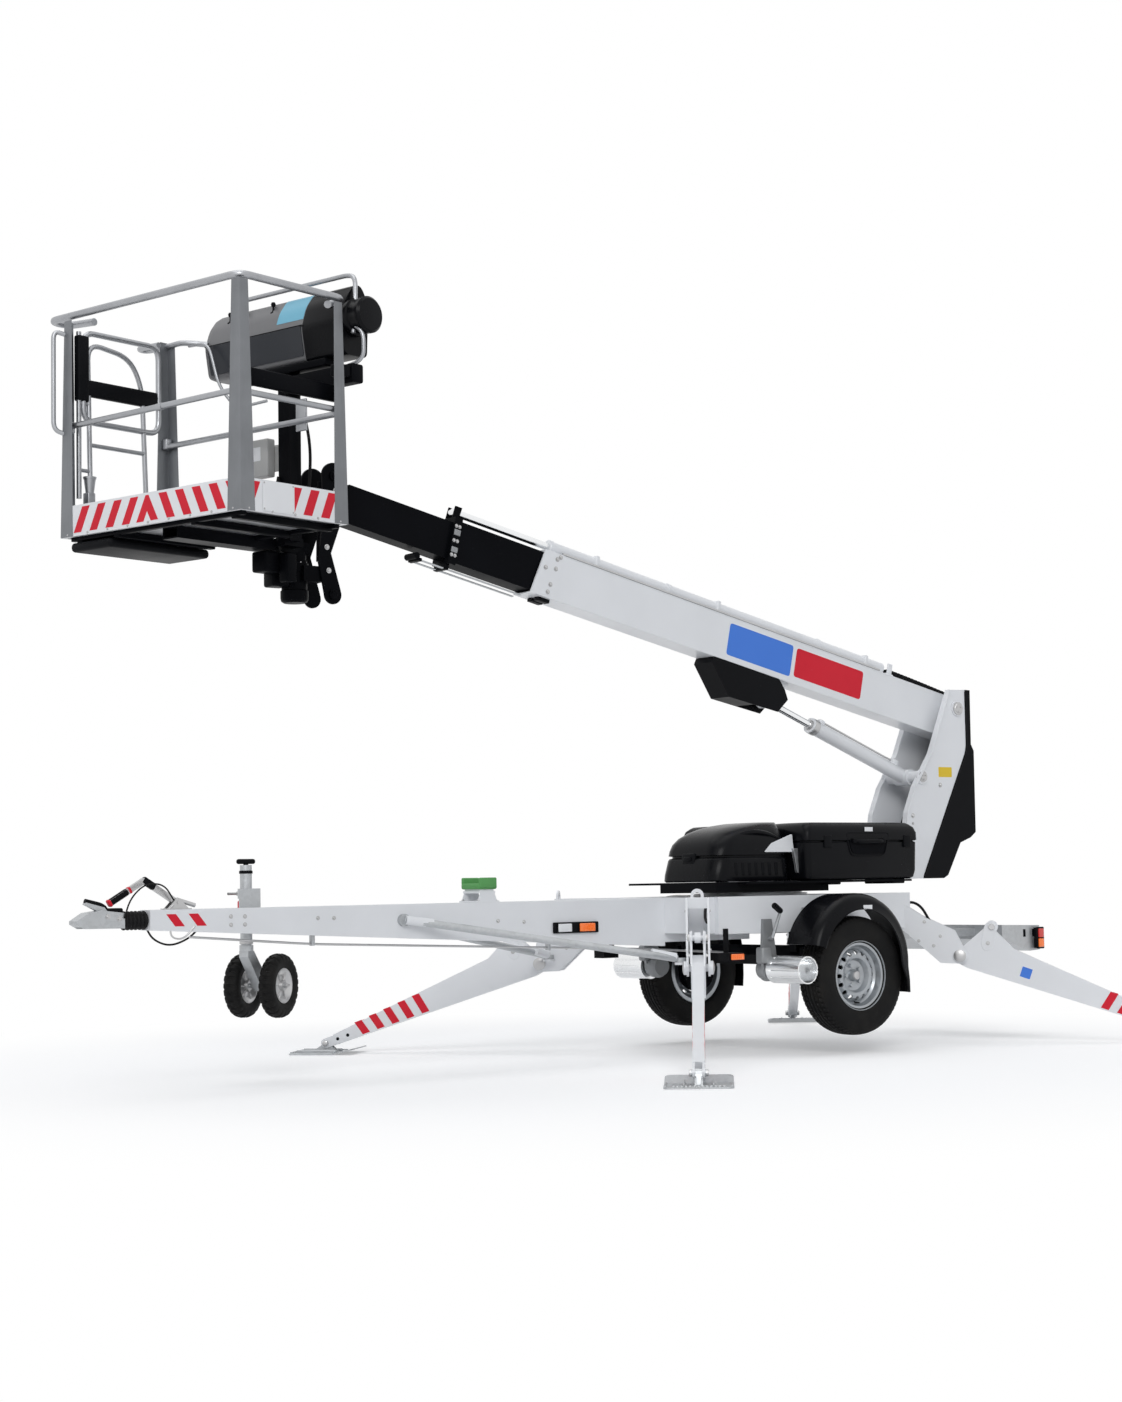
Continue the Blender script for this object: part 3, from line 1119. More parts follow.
@dataclass
class Basket:
    """The work basket: rails, tapered posts, gate, boards, console and floor, in its own frame."""

    x0: float = 0.270
    x1: float = 0.970
    half: float = 0.650
    floor: float = 2.734
    rail: float = 3.845
    mid: float = 3.294
    inset: float = 0.0343
    gate_y: float = -0.6157
    mid_y: float = 0.622

    def posts(self) -> Shape:
        """Makes the four corner posts: folded angle sections that widen towards the floor."""
        made, t = [], 0.004
        for x, sx in ((self.x0, -1), (self.x1, 1)):
            for y, sy in ((-self.half, -1), (self.half, 1)):
                rows = []
                for z, w in ((self.floor - 0.004, 0.092), (self.floor + 0.14, 0.088),
                             (self.rail - 0.02, 0.056)):
                    legs = rounded([(w, 0), (0, 0), (0, w), (t, w), (t, t), (w, t)], 0.003, True, 3)
                    shift = 0.004 - 0.014 * (z - self.floor) / 1.1
                    rows.append(np.column_stack([x + sx * (shift - legs[:, 0]),
                                                 y + sy * (shift - legs[:, 1]), np.full(len(legs), z)]))
                made.append(skin(rows, BASKET))
        return Shape.joined(made)

    def rails(self) -> Shape:
        """Makes the handrail, the short near rail that ends at the console, and the mid rails."""
        z, lo, hi = self.rail + 0.012, self.x0 + self.inset, self.x1 - self.inset
        hand = tube([(0.800, -0.600, z - 0.012), (0.802, -0.795, z), (0.926, -0.795, z), (0.926, 0.606, z),
                     (0.235, 0.606, z), (0.235, 0.500, z - 0.012), (0.300, 0.560, z - 0.030)], 0.038,
                    BASKET, 0.062)
        near = tube([(0.205, -0.415, z - 0.060), (0.286, -0.520, z - 0.045), (0.290, -0.600, z - 0.05),
                     (0.290, -0.790, z - 0.05), (0.360, -0.790, z - 0.05), (0.360, -0.62, z - 0.055)],
                    0.030, BASKET, 0.05)
        y, mid = self.mid_y, self.mid
        mids = [tube([(hi, -y, mid), (hi, y, mid + 0.01)], 0.030, BASKET),
                tube([(hi, y, mid), (lo, y, mid)], 0.030, BASKET),
                tube([(lo, -y, mid - 0.02), (lo, y, mid - 0.02)], 0.030, BASKET)]
        size, low, high = 0.018, mid - 0.035, mid + 0.02
        joints = [block((a - size, b - size, low), (a + size, b + size, high), 0.006, BASKET)
                  for a, b in ((hi, y), (hi, -y), (lo, y), (lo, -y))]
        sleeve = tube([(hi, 0.03, mid + 0.004), (hi, 0.07, mid + 0.004)], 0.035, BASKET)
        return Shape.joined([hand, near] + mids + joints + [sleeve])

    def hoops(self) -> Shape:
        """Makes the outer grab hoop and the cord hoops beside the console."""
        grab = tube([(0.955, -0.640, 3.760), (1.005, -0.668, 3.775), (1.005, -0.668, 3.275),
                     (0.955, -0.640, 3.255)], 0.024, BASKET, 0.045)
        cable = tube([(0.240, -0.52, 3.80), (0.250, -0.36, 3.79), (0.250, -0.28, 3.55), (0.245, -0.16, 3.42),
                      (0.20, 0.02, 3.44)], 0.016, BASKET, 0.07)
        right = tube([(0.180, 0.60, 3.75), (0.160, 0.665, 3.70), (0.160, 0.665, 3.56), (0.200, 0.52, 3.52)],
                     0.020, BASKET, 0.05)
        return Shape.joined([grab, cable, right])

    def gate(self) -> tuple[Shape, Shape]:
        """Makes the gate's tubes, and the black strip and hinge cover on them."""
        y = self.gate_y
        loop = tube([(0.366, y, 3.785), (0.860, y, 3.785), (0.860, y, 3.330), (0.366, y, 3.330)], 0.030,
                    BASKET, 0.07, True)
        ladder = tube([(0.452, y, 2.955), (0.478, y, 3.560), (0.560, y, 3.700), (0.832, y, 3.735),
                       (0.815, y, 2.955)], 0.026, BASKET, 0.09)
        rungs = [tube([(0.464, y, 3.215), (0.822, y, 3.215)], 0.022, BASKET)]
        straps = [tube([(0.818, y, z), (0.8877, y, z)], 0.020, BASKET) for z in (3.08, 3.42)]
        stile = tube([(0.8877, y, 2.935), (0.8877, y, 3.782)], 0.026, BASKET)
        pad = [block((0.380, y - 0.020, 3.460), (0.850, y + 0.016, 3.545), 0.012, BASKET),
               block((0.832, y - 0.024, 3.430), (0.9020, y + 0.018, 3.765), 0.010, BASKET)]
        return Shape.joined([loop, ladder] + rungs + straps + [stile]), Shape.joined(pad)

    def boards(self) -> None:
        """Makes the folded toe boards with a lip top and bottom, and the slanting red films on them."""
        z0, z1, t = self.floor, self.floor + 0.150, 0.0115
        x0, x1, h = self.x0, self.x1, self.half
        fold = np.array([(0.0, z0 - 0.004), (0.0, z1), (-0.010, z1 + 0.001), (-0.011, z1 - 0.003),
                         (-0.003, z1 - 0.004), (-0.003, z0 + 0.001), (-t - 0.008, z0 + 0.001),
                         (-t - 0.008, z0 - 0.004)])
        path = np.array([(x1, -h), (x1, h), (x0, h), (x0, -h)])
        out = np.array([(1, -1), (1, 1), (-1, 1), (-1, -1)])
        rows = np.stack([np.column_stack([p[0] + o[0] * fold[:, 0], p[1] + o[1] * fold[:, 0], fold[:, 1]])
                         for p, o in zip(path, out)])
        piece("toe_board_sheet", surface(BASKET.put(rows), wrap_u=True, wrap_v=True), PALE, "basket",
              ("toe_boards",), smooth=20)
        far, end, near, tail = (BASKET.moved(x, y, z0 + 0.012).facing(ahead, (0, 0, 1)) for x, y, ahead in (
            (x1, 0, (0, 1, 0)), (0, h, (-1, 0, 0)), (x0, 0, (0, -1, 0)), (0, -h, (1, 0, 0))))
        high, lean, width, thick = 0.126, 0.066, 0.057, FILM
        peak = [(-0.085, 0), (-0.033, 0), (-0.0065, 0.048), (0.020, 0.0), (0.073, 0.0), (0.005, high),
                (-0.017, high)]
        films = []
        for here in (far, near):
            films.append(slanted(-0.556 + 0.121 * np.arange(4), width, high, lean, thick, here))
            films.append(slanted(0.137 + 0.118 * np.arange(4), width, high, 0.006 - lean, thick, here))
            films.append(slab(peak, 0.0, thick, here))
            films.append(slab([(0.600, 0.019), (0.600, high), (0.547, high)], 0.0, thick, here))
        films.append(slanted(-0.684 + 0.117 * np.arange(3), width, high, 0.052, thick, end))
        films.append(slab([(-0.884, 0.037), (-0.847, high), (-0.884, high)], 0.0, thick, end))
        films.append(slanted(0.37 + 0.117 * np.arange(4), width, high, lean, thick, tail))
        piece("warning_stripes", films, RED, "basket")
        plate = slab(card(-0.832, -0.629, -0.008, 0.134, 0.006), 0.001, 0.003, end.moved(z=0.001))
        piece("rating_plate", plate, PALE, "basket")
        rivets = [(x, z, 0.003) for x in (-0.824, -0.637) for z in (0.001, 0.125)]
        piece("plate_rivets", bolt_heads(rivets, end.moved(z=0.001), 0.007, 0.003), STEEL, "basket")
        lows = [(y, -0.006, 0.0) for y in np.linspace(-0.6, 0.6, 9)]
        ends = [(-x, -0.006, 0.0) for x in np.linspace(0.32, 0.92, 5)]
        heads = [bolt_heads(lows, far, 0.010, 0.005), bolt_heads(ends, end, 0.010, 0.005)]
        piece("board_bolts", heads, STEEL, "basket")

    def console(self) -> None:
        """Makes the console: hood, lower face, blank panel, end cover, drum, guard bow and joysticks."""
        curve = rounded([(0.030, 3.602), (0.185, 3.602), (0.214, 3.770), (0.206, 3.800), (0.178, 3.880),
                         (0.120, 3.955), (0.070, 3.962), (0.030, 3.900), (0.022, 3.780)], 0.030, True, 6)
        y = np.array([-0.440, -0.434, -0.40, -0.2, 0.05, 0.3, 0.5, 0.556, 0.560])
        size = np.array([0.80, 0.92, 0.985, 1.0, 1.0, 1.0, 1.0, 0.995, 0.96])
        mid = curve.mean(0)

        def section(v: float, k: float, line: Array = curve) -> Array:
            """Returns a line of the console's section, sized about its middle and set at a width."""
            grown = mid + k * (line - mid)
            return np.column_stack([grown[:, 0], np.full(len(line), v), grown[:, 1]])

        hood = skin([section(v, k) for v, k in zip(y, size)], BASKET)
        piece("console_hood", hood, SHELL, "basket", ("control_console",), smooth=50)
        face = BASKET.moved(0.1905, 0, 3.632).facing((0, 1, 0), (0.169, 0, 0.985))
        lower = card(-0.405, 0.282, 0.0, 0.150, 0.012)
        piece("console_front", slab(lower, -0.004, 0.004, face), PANEL, "basket", bevel=0.001)
        arc = curve[(curve[:, 1] > 3.812) & (curve[:, 0] > 0.110)]
        strip = np.concatenate([mid + 1.012 * (arc - mid), (mid + 0.99 * (arc - mid))[::-1]])
        panel = skin([section(v, 1.0, strip) for v in (0.095, 0.286)], BASKET)
        piece("console_blank_panel", panel, PALE_BLUE, "basket", smooth=50)
        cover = skin([section(v, 1.014 * k) for v, k in
                      ((0.290, 0.992), (0.296, 1.0), (0.556, 1.0), (0.562, 0.99))], BASKET)
        piece("console_end_cover", cover, MOULD, "basket", smooth=50)
        seam = [tube([(0.214, -0.425, 3.782), (0.216, 0.290, 3.782)], 0.008, BASKET)]
        drum = lathe([(0, 0.556), (0.084, 0.556), (0.092, 0.562), (0.096, 0.575), (0.096, 0.592),
                      (0.088, 0.598), (0.088, 0.640), (0.092, 0.648), (0.092, 0.668), (0.080, 0.680),
                      (0.030, 0.683), (0, 0.683)],
                     Place(tuple(BASKET.put((0.120, 0.0, 3.790))), BASKET.x, (0.0, 0.0, 1.0), BASKET.y), 48)
        piece("console_drum", drum, MOULD, "basket")
        sticks = []
        for v in (-0.30, -0.18, 0.02):
            stem = BASKET.moved(0.150, v, 3.895)
            sticks.append(lathe([(0, 0.062), (0.009, 0.060), (0.013, 0.050), (0.010, 0.040), (0.005, 0.034),
                                 (0.006, 0.016), (0.016, 0.006), (0.018, -0.02), (0, -0.02)], stem, 20))
        piece("console_controls", sticks + seam, MATT, "basket")
        bow = tube([(0.105, -0.345, 3.915), (0.108, -0.300, 4.017), (0.108, 0.520, 4.017),
                    (0.120, 0.575, 3.990), (0.150, 0.600, 3.800), (0.165, 0.600, 3.700)], 0.024, BASKET,
                   0.05)
        piece("console_bow", bow, ALLOY, "basket")

    def column(self) -> None:
        """Dresses the column: arms, the bar between the end posts, document box, funnel and hoses."""
        arm = [block((0.120, 0.140, 3.450), (0.200, 0.628, 3.545), 0.012, BASKET),
               block((0.095, -0.20, 3.560), (0.205, 0.44, 3.600), 0.010, BASKET),
               block((0.205, 0.56, 3.470), (0.290, 0.62, 3.530), 0.008, BASKET)]
        arm.append(block((0.275, 0.566, 3.340), (0.965, 0.598, 3.425), 0.010, BASKET))
        piece("column_arm", arm, BLACK, "basket")
        box = [block((0.164, -0.096, 3.050), (0.220, 0.040, 3.245), 0.008, BASKET),
               block((0.150, -0.070, 3.080), (0.166, 0.130, 3.215), 0.004, BASKET)]
        piece("document_box", box, PALE_GREY, "basket")
        label = slab(card(-0.070, -0.010, 3.135, 3.205, 0.004), 0.0, FILM,
                     BASKET.moved(0.220, 0, 0).facing((0, 1, 0), (0, 0, 1)))
        piece("document_label", label, PALE, "basket")
        holder = block((0.288, 0.33, 3.225), (0.302, 0.40, 3.385), 0.003, BASKET)
        piece("lanyard_plate", holder, ALLOY, "basket")
        cone = lathe([(0, 0.095), (0.018, 0.095), (0.030, 0.0), (0.033, 0.0), (0.034, -0.01), (0, -0.012)],
                     Place(tuple(BASKET.put((0.845, -0.585, 3.035))), BASKET.x, tuple(-v for v in BASKET.y),
                           (0.0, 0.0, -1.0)), 24)
        cup = block((0.822, -0.612, 2.900), (0.868, -0.566, 2.965), 0.006, BASKET)
        piece("tool_funnel", [cone, cup], ALLOY, "basket")
        hooks = [tube([(0.31, -0.60, 2.925), (0.40, -0.60, 2.935), (0.43, -0.60, 2.965)], 0.018, BASKET,
                      0.03)]
        piece("gate_stop", hooks, ALLOY, "basket")
        hose("column_hose_left", [(0.155, 0.060, 2.680), (0.205, 0.085, 2.76), (0.228, 0.095, 2.90),
                                  (0.200, 0.10, 3.04)], 0.018, RUBBER, "basket", BASKET, 0.06)
        hose("column_hose_right", [(0.112, 0.185, 3.40), (0.100, 0.23, 3.20), (0.085, 0.20, 2.95),
                                   (0.112, 0.165, 2.80)], 0.016, RUBBER, "basket", BASKET, 0.10)

    def underside(self) -> None:
        """Makes the floor's ribs, treads and pan, and the casing below it."""
        z = self.floor
        ribs = [block((self.x0 + 0.03, y - 0.020, z - 0.034), (self.x1 - 0.04, y + 0.020, z - 0.001), 0.004,
                      BASKET) for y in (-0.56, -0.28, 0.28, 0.56)]
        ribs += [block((x - 0.015, -self.half + 0.03, z - 0.022), (x + 0.015, self.half - 0.03, z - 0.001),
                       0.003, BASKET) for x in (self.x0 + 0.04, self.x1 - 0.05)]
        piece("floor_ribs", ribs, BLACK, "basket")
        grip = [block((x, -0.60, z + 0.0235), (x + 0.006, 0.60, z + 0.0265), 0.001, BASKET)
                for x in np.arange(0.31, 0.94, 0.03)]
        piece("floor_treads", grip, ALLOY, "basket")
        pan = block((0.30, -0.61, z - 0.078), (0.95, -0.30, z - 0.030), 0.020, BASKET)
        piece("floor_pan", pan, MATT, "basket")
        casing = [block((0.075, -0.052, z - 0.170), (0.250, 0.052, z - 0.064), 0.012, BASKET),
                  block((0.090, 0.052, z - 0.220), (0.160, 0.115, z - 0.070), 0.010, BASKET)]
        piece("support_casing", casing, BLACK, "basket")

    def build(self) -> None:
        """Makes every piece of the basket."""
        piece("basket_tubes", self.rails(), ALLOY, "basket", ("basket_frame",), smooth=40)
        piece("basket_posts", self.posts(), SHEET, "basket", ("basket_frame",), smooth=40)
        piece("basket_hoops", self.hoops(), ALLOY, "basket")
        tubes, pads = self.gate()
        piece("gate_tubes", tubes, ALLOY, "basket_gate_body", ("basket_gate",), smooth=50)
        piece("gate_pads", pads, MATT, "basket_gate_body")
        self.boards()
        self.console()
        self.column()
        self.underside()


@dataclass
class Head:
    """Fittings of the levelling head: pin caps, raised rims, slave cylinder and drive motor."""

    x: float = 2.99936
    z: float = 2.93099

    def build(self) -> None:
        """Makes the head's fittings."""
        base = MACHINE.moved(self.x, 0, self.z)
        caps, bolts = [], []
        for _, side in SIDES:
            here = base.moved(0, side * 0.106, 0).wall(side)
            for u, v, r in ((0.0, 0.0, 0.034), (-side * 0.020, -0.462, 0.026),
                            (-side * 0.010, 0.150, 0.026)):
                caps.append(lathe([(0, 0.016), (r * 0.6, 0.016), (r * 0.7, 0.012), (r, 0.010), (r, -0.002),
                                   (0, -0.002)], here.moved(u, v), 28))
            bolts.append(bolt_heads([(-side * u, v, 0.0)
                                     for u, v in ((0.055, -0.22), (0.045, -0.34), (0.0, 0.075))], here,
                                    0.020, 0.010))
        piece("head_pin_caps", caps, BLACK, "head")
        piece("head_bolts", bolts, STEEL, "head")
        piece("levelling_cylinder", tube([(0.010, 0, 0.135), (0.020, 0, -0.28)], 0.060, base), BLACK, "head")
        drive = base.moved(0.186, 0, -0.500)
        body = [lathe([(0, -0.006), (0.055, -0.006), (0.069, 0.004), (0.072, 0.02), (0.072, 0.055),
                       (0.066, 0.060), (0.066, 0.150), (0.072, 0.155), (0.072, 0.196), (0, 0.196)], drive,
                      40), block((0.055, -0.050, 0.070), (0.155, 0.050, 0.150), 0.012, drive),
                block((-0.03, -0.125, 0.085), (0.03, -0.060, 0.140), 0.010, drive)]
        piece("drive_casing", body, BLACK, "head")
        heads = [(0.060 * math.cos(a), 0.060 * math.sin(a), 0.196)
                 for a in np.linspace(0, 2 * math.pi, 9)[:-1]]
        piece("drive_bolts", bolt_heads(heads, drive, 0.012, 0.006), STEEL, "head")
        hose("head_hose", [(0.06, -0.110, 0.10), (0.16, -0.135, 0.02), (0.16, -0.135, -0.22),
                           (0.17, -0.095, -0.36)], 0.018, RUBBER, "head", base, 0.09)


@dataclass
class Drawbar:
    """Fittings of the drawbar: films, bolts, lamps, strut ends, brake rod, coupling and rest."""

    ball_z: float = 0.833
    lever: float = math.radians(32)
    crank: float = math.radians(-62)

    def films(self) -> None:
        """Lays the red films on the front of the beam."""
        made = []
        for _, side in SIDES:
            for x in (3.895, 3.775):
                outline = [(-0.040, 0.0), (0.012, 0.0), (0.060, 0.060), (0.008, 0.060)]
                made.append(slab(outline, 0.0, FILM, bar_side(x, 0.800, side)))
        piece("drawbar_films", made, RED, "chassis")

    def bolts(self) -> None:
        """Sets the bolt heads along both sides of the beam."""
        made = []
        for _, side in SIDES:
            for x, z in ((3.602, 0.841), (3.524, 0.840), (3.107, 0.822), (3.013, 0.820), (1.999, 0.781),
                         (1.829, 0.772), (3.602, 0.800), (3.524, 0.800)):
                made.append(bolt_heads([(0.0, 0.0, 0.0)], bar_side(x, z, side), 0.015, 0.007))
        piece("drawbar_bolts", made, STEEL, "chassis")

    def lamps(self) -> None:
        """Makes the side and tail lamps: black holders with clear, amber and red lenses."""
        holders, amber, clear, red = [], [], [], []
        for _, side in SIDES:
            here = bar_side(1.49, 0.690, side)
            holders.append(block((-0.155, 0.014, 0.0), (0.150, 0.074, 0.014), 0.005, here))
            for x0, x1, kind in ((-0.125, -0.020, amber), (0.035, 0.125, clear)):
                kind.append(block((x0, 0.022, 0.010), (x1, 0.066, 0.026), 0.005, here))
                kind += [block((x, 0.026, 0.020), (x + 0.004, 0.062, 0.0285), 0.0015, here)
                         for x in np.arange(x0 + 0.012, x1 - 0.012, 0.014)]
            spot = MACHINE.moved(0.755, side * 0.596, 0.557).wall(side)
            amber.append(block((-0.046, -0.016, 0.0), (0.046, 0.016, 0.012), 0.005, spot))
            amber += [block((x, -0.013, 0.008), (x + 0.004, 0.013, 0.0145), 0.0015, spot)
                      for x in np.arange(-0.036, 0.036, 0.014)]
            tail = MACHINE.moved(-1.729, side * 0.5838, 0.592).wall(side)
            holders.append(block((-0.034, -0.066, -0.001), (0.034, 0.066, 0.010), 0.008, tail))
            amber.append(block((-0.022, -0.056, 0.006), (0.022, -0.004, 0.020), 0.006, tail))
            red.append(block((-0.022, 0.002, 0.006), (0.022, 0.056, 0.020), 0.006, tail))
        piece("lamp_holders", holders, MATT, "chassis")
        piece("amber_lenses", amber, AMBER_LENS, "chassis")
        piece("clear_lenses", clear, PALE, "chassis")
        for y0, y1 in ((-0.545, -0.405), (0.405, 0.545)):
            red.append(block((-1.768, y0, 0.570), (-1.757, y1, 0.640), 0.005))
        piece("red_lenses", red, RED_LENS, "chassis")

    def rods(self) -> None:
        """Makes the brake rod under the beam, its brackets, and the fork ends of the struts."""
        rod = tube([(3.80, 0.0, 0.745), (3.10, 0.0, 0.690), (0.95, 0.0, 0.600), (0.30, 0.0, 0.560)], 0.012,
                   bend=0.1)
        piece("brake_rod", rod, STEEL, "chassis")
        hangers = [block((x - 0.010, -0.014, z), (x + 0.010, 0.014, z + 0.11), 0.004) for x, z in
                   ((3.10, 0.682), (1.60, 0.612))]
        piece("rod_hangers", hangers, GALV, "chassis")
        ends = []
        for _, side in SIDES:
            ends.append(tube([(2.600, side * (bar_half(2.6) + 0.030), 0.800), (2.46, side * 0.150, 0.780)],
                             0.048))
            ends.append(tube([(1.300, side * 0.520, 0.594), (1.175, side * 0.575, 0.567)], 0.050))
        piece("strut_ends", ends, WHITE, "chassis")

    def coupling(self) -> None:
        """Makes the bellows, the coupling's handle and catch, the lever's grips and its gas spring."""
        folds = [(0.030, 0.000)]
        for i in range(6):
            x = i * 0.021
            folds += [(0.0375, x + 0.001), (0.046, x + 0.0085), (0.0465, x + 0.0105), (0.046, x + 0.0125),
                      (0.0375, x + 0.020)]
        folds += [(0.030, 0.126)]
        bellows = lathe(folds, Place(tuple(MACHINE.put((4.0405, 0, self.ball_z))), (0.0, 1.0, 0.0),
                                     (0.0, 0.0, 1.0), (1.0, 0.0, 0.0)), 40, True)
        piece("coupling_folds", bellows, RUBBER, "chassis", ("coupling_bellows",))
        hub = MACHINE.moved(3.872, 0.0, 0.9163)
        c, s = math.cos(self.lever), math.sin(self.lever)
        arm = hub.facing((c, 0, s), (0, 1, 0))
        grips = [block((0.14, -0.016, -0.018), (0.216, 0.016, 0.018), 0.009, arm)]
        down = arm.moved(0.205, 0, 0).facing((math.cos(self.crank), 0, math.sin(self.crank)), (0, 1, 0))
        grips.append(block((0.10, -0.0165, -0.0175), (0.214, 0.0165, 0.0175), 0.012, down))
        piece("lever_grips", grips, MATT, "chassis")
        collar = [block((0.085, -0.0155, -0.0165), (0.100, 0.0155, 0.0165), 0.005, down),
                  block((0.205, -0.0175, -0.0185), (0.222, 0.0175, 0.0185), 0.008, down)]
        piece("lever_grip_rings", collar, RED, "chassis")
        head = MACHINE.moved(0, 0, self.ball_z)
        catch = [tube([(4.245, 0, 0.045), (4.265, 0, 0.074), (4.36, 0, 0.097)], 0.026, head, 0.03),
                 block((4.170, -0.030, 0.030), (4.240, 0.030, 0.062), 0.010, head)]
        piece("coupling_handle", catch, MATT, "chassis")
        rods = [tube([(3.95, y, 0.862), (3.90, y, 0.905)], 0.010) for y in (-0.024, 0.024)]
        spring = tube([(3.770, 0.0, 0.900), (3.870, 0.0, 0.930)], 0.022)
        nuts = [bolt_heads([(0, 0, 0)], Place(tuple(MACHINE.put((x, 0.043, self.ball_z + z))),
                                              (1.0, 0.0, 0.0), (0.0, 0.0, -1.0), (0.0, 1.0, 0.0)), 0.018,
                           0.009) for x, z in ((4.20, 0.01), (4.26, 0.022))]
        piece("coupling_fittings", rods + [spring] + nuts, STEEL, "chassis")
        hose("breakaway_cable", [(3.900, 0.031, 0.925), (3.960, 0.045, 1.005), (4.070, 0.060, 1.010),
                                 (4.150, 0.060, 0.940), (4.175, 0.046, 0.845)], 0.008, RUBBER, "chassis",
             bend=0.05)
        hose("lamp_cable", [(4.020, -0.030, 0.795), (3.960, -0.075, 0.735), (3.860, -0.090, 0.700),
                            (3.760, -0.080, 0.735), (3.720, -0.045, 0.790)], 0.010, RUBBER, "chassis",
             bend=0.07)
        plug = tube([(3.700, -0.072, 0.800), (3.770, -0.078, 0.792)], 0.036)
        piece("parked_plug", plug, MATT, "chassis")
        loop = tube([(3.93, 0.048, 0.806), (3.93, 0.052, 0.745), (3.86, 0.052, 0.735),
                     (3.80, 0.056, 0.800)], 0.009, bend=0.04)
        piece("wire_prop", loop, STEEL, "chassis")

    def rest(self) -> None:
        """Makes the boom rest's pad and its side lips."""
        base = MACHINE.moved(2.055, 0, 0.963)
        pad = [block((-0.062, -0.082, -0.012), (0.062, 0.082, 0.020), 0.010, base)]
        pad += [block((-0.056, y - 0.008, -0.004), (0.056, y + 0.008, 0.050), 0.007, base)
                for y in (-0.080, 0.080)]
        piece("rest_pad", pad, GREEN, "chassis")
        bolts = bolt_heads([(x, y, 0.0) for x in (-0.058, 0.058) for y in (-0.070, 0.070)],
                           MACHINE.moved(2.055, 0, 0.8905), 0.014, 0.007)
        piece("rest_bolts", bolts, STEEL, "chassis")

    def build(self) -> None:
        """Makes every fitting of the drawbar."""
        self.films()
        self.bolts()
        self.lamps()
        self.rods()
        self.coupling()
        self.rest()


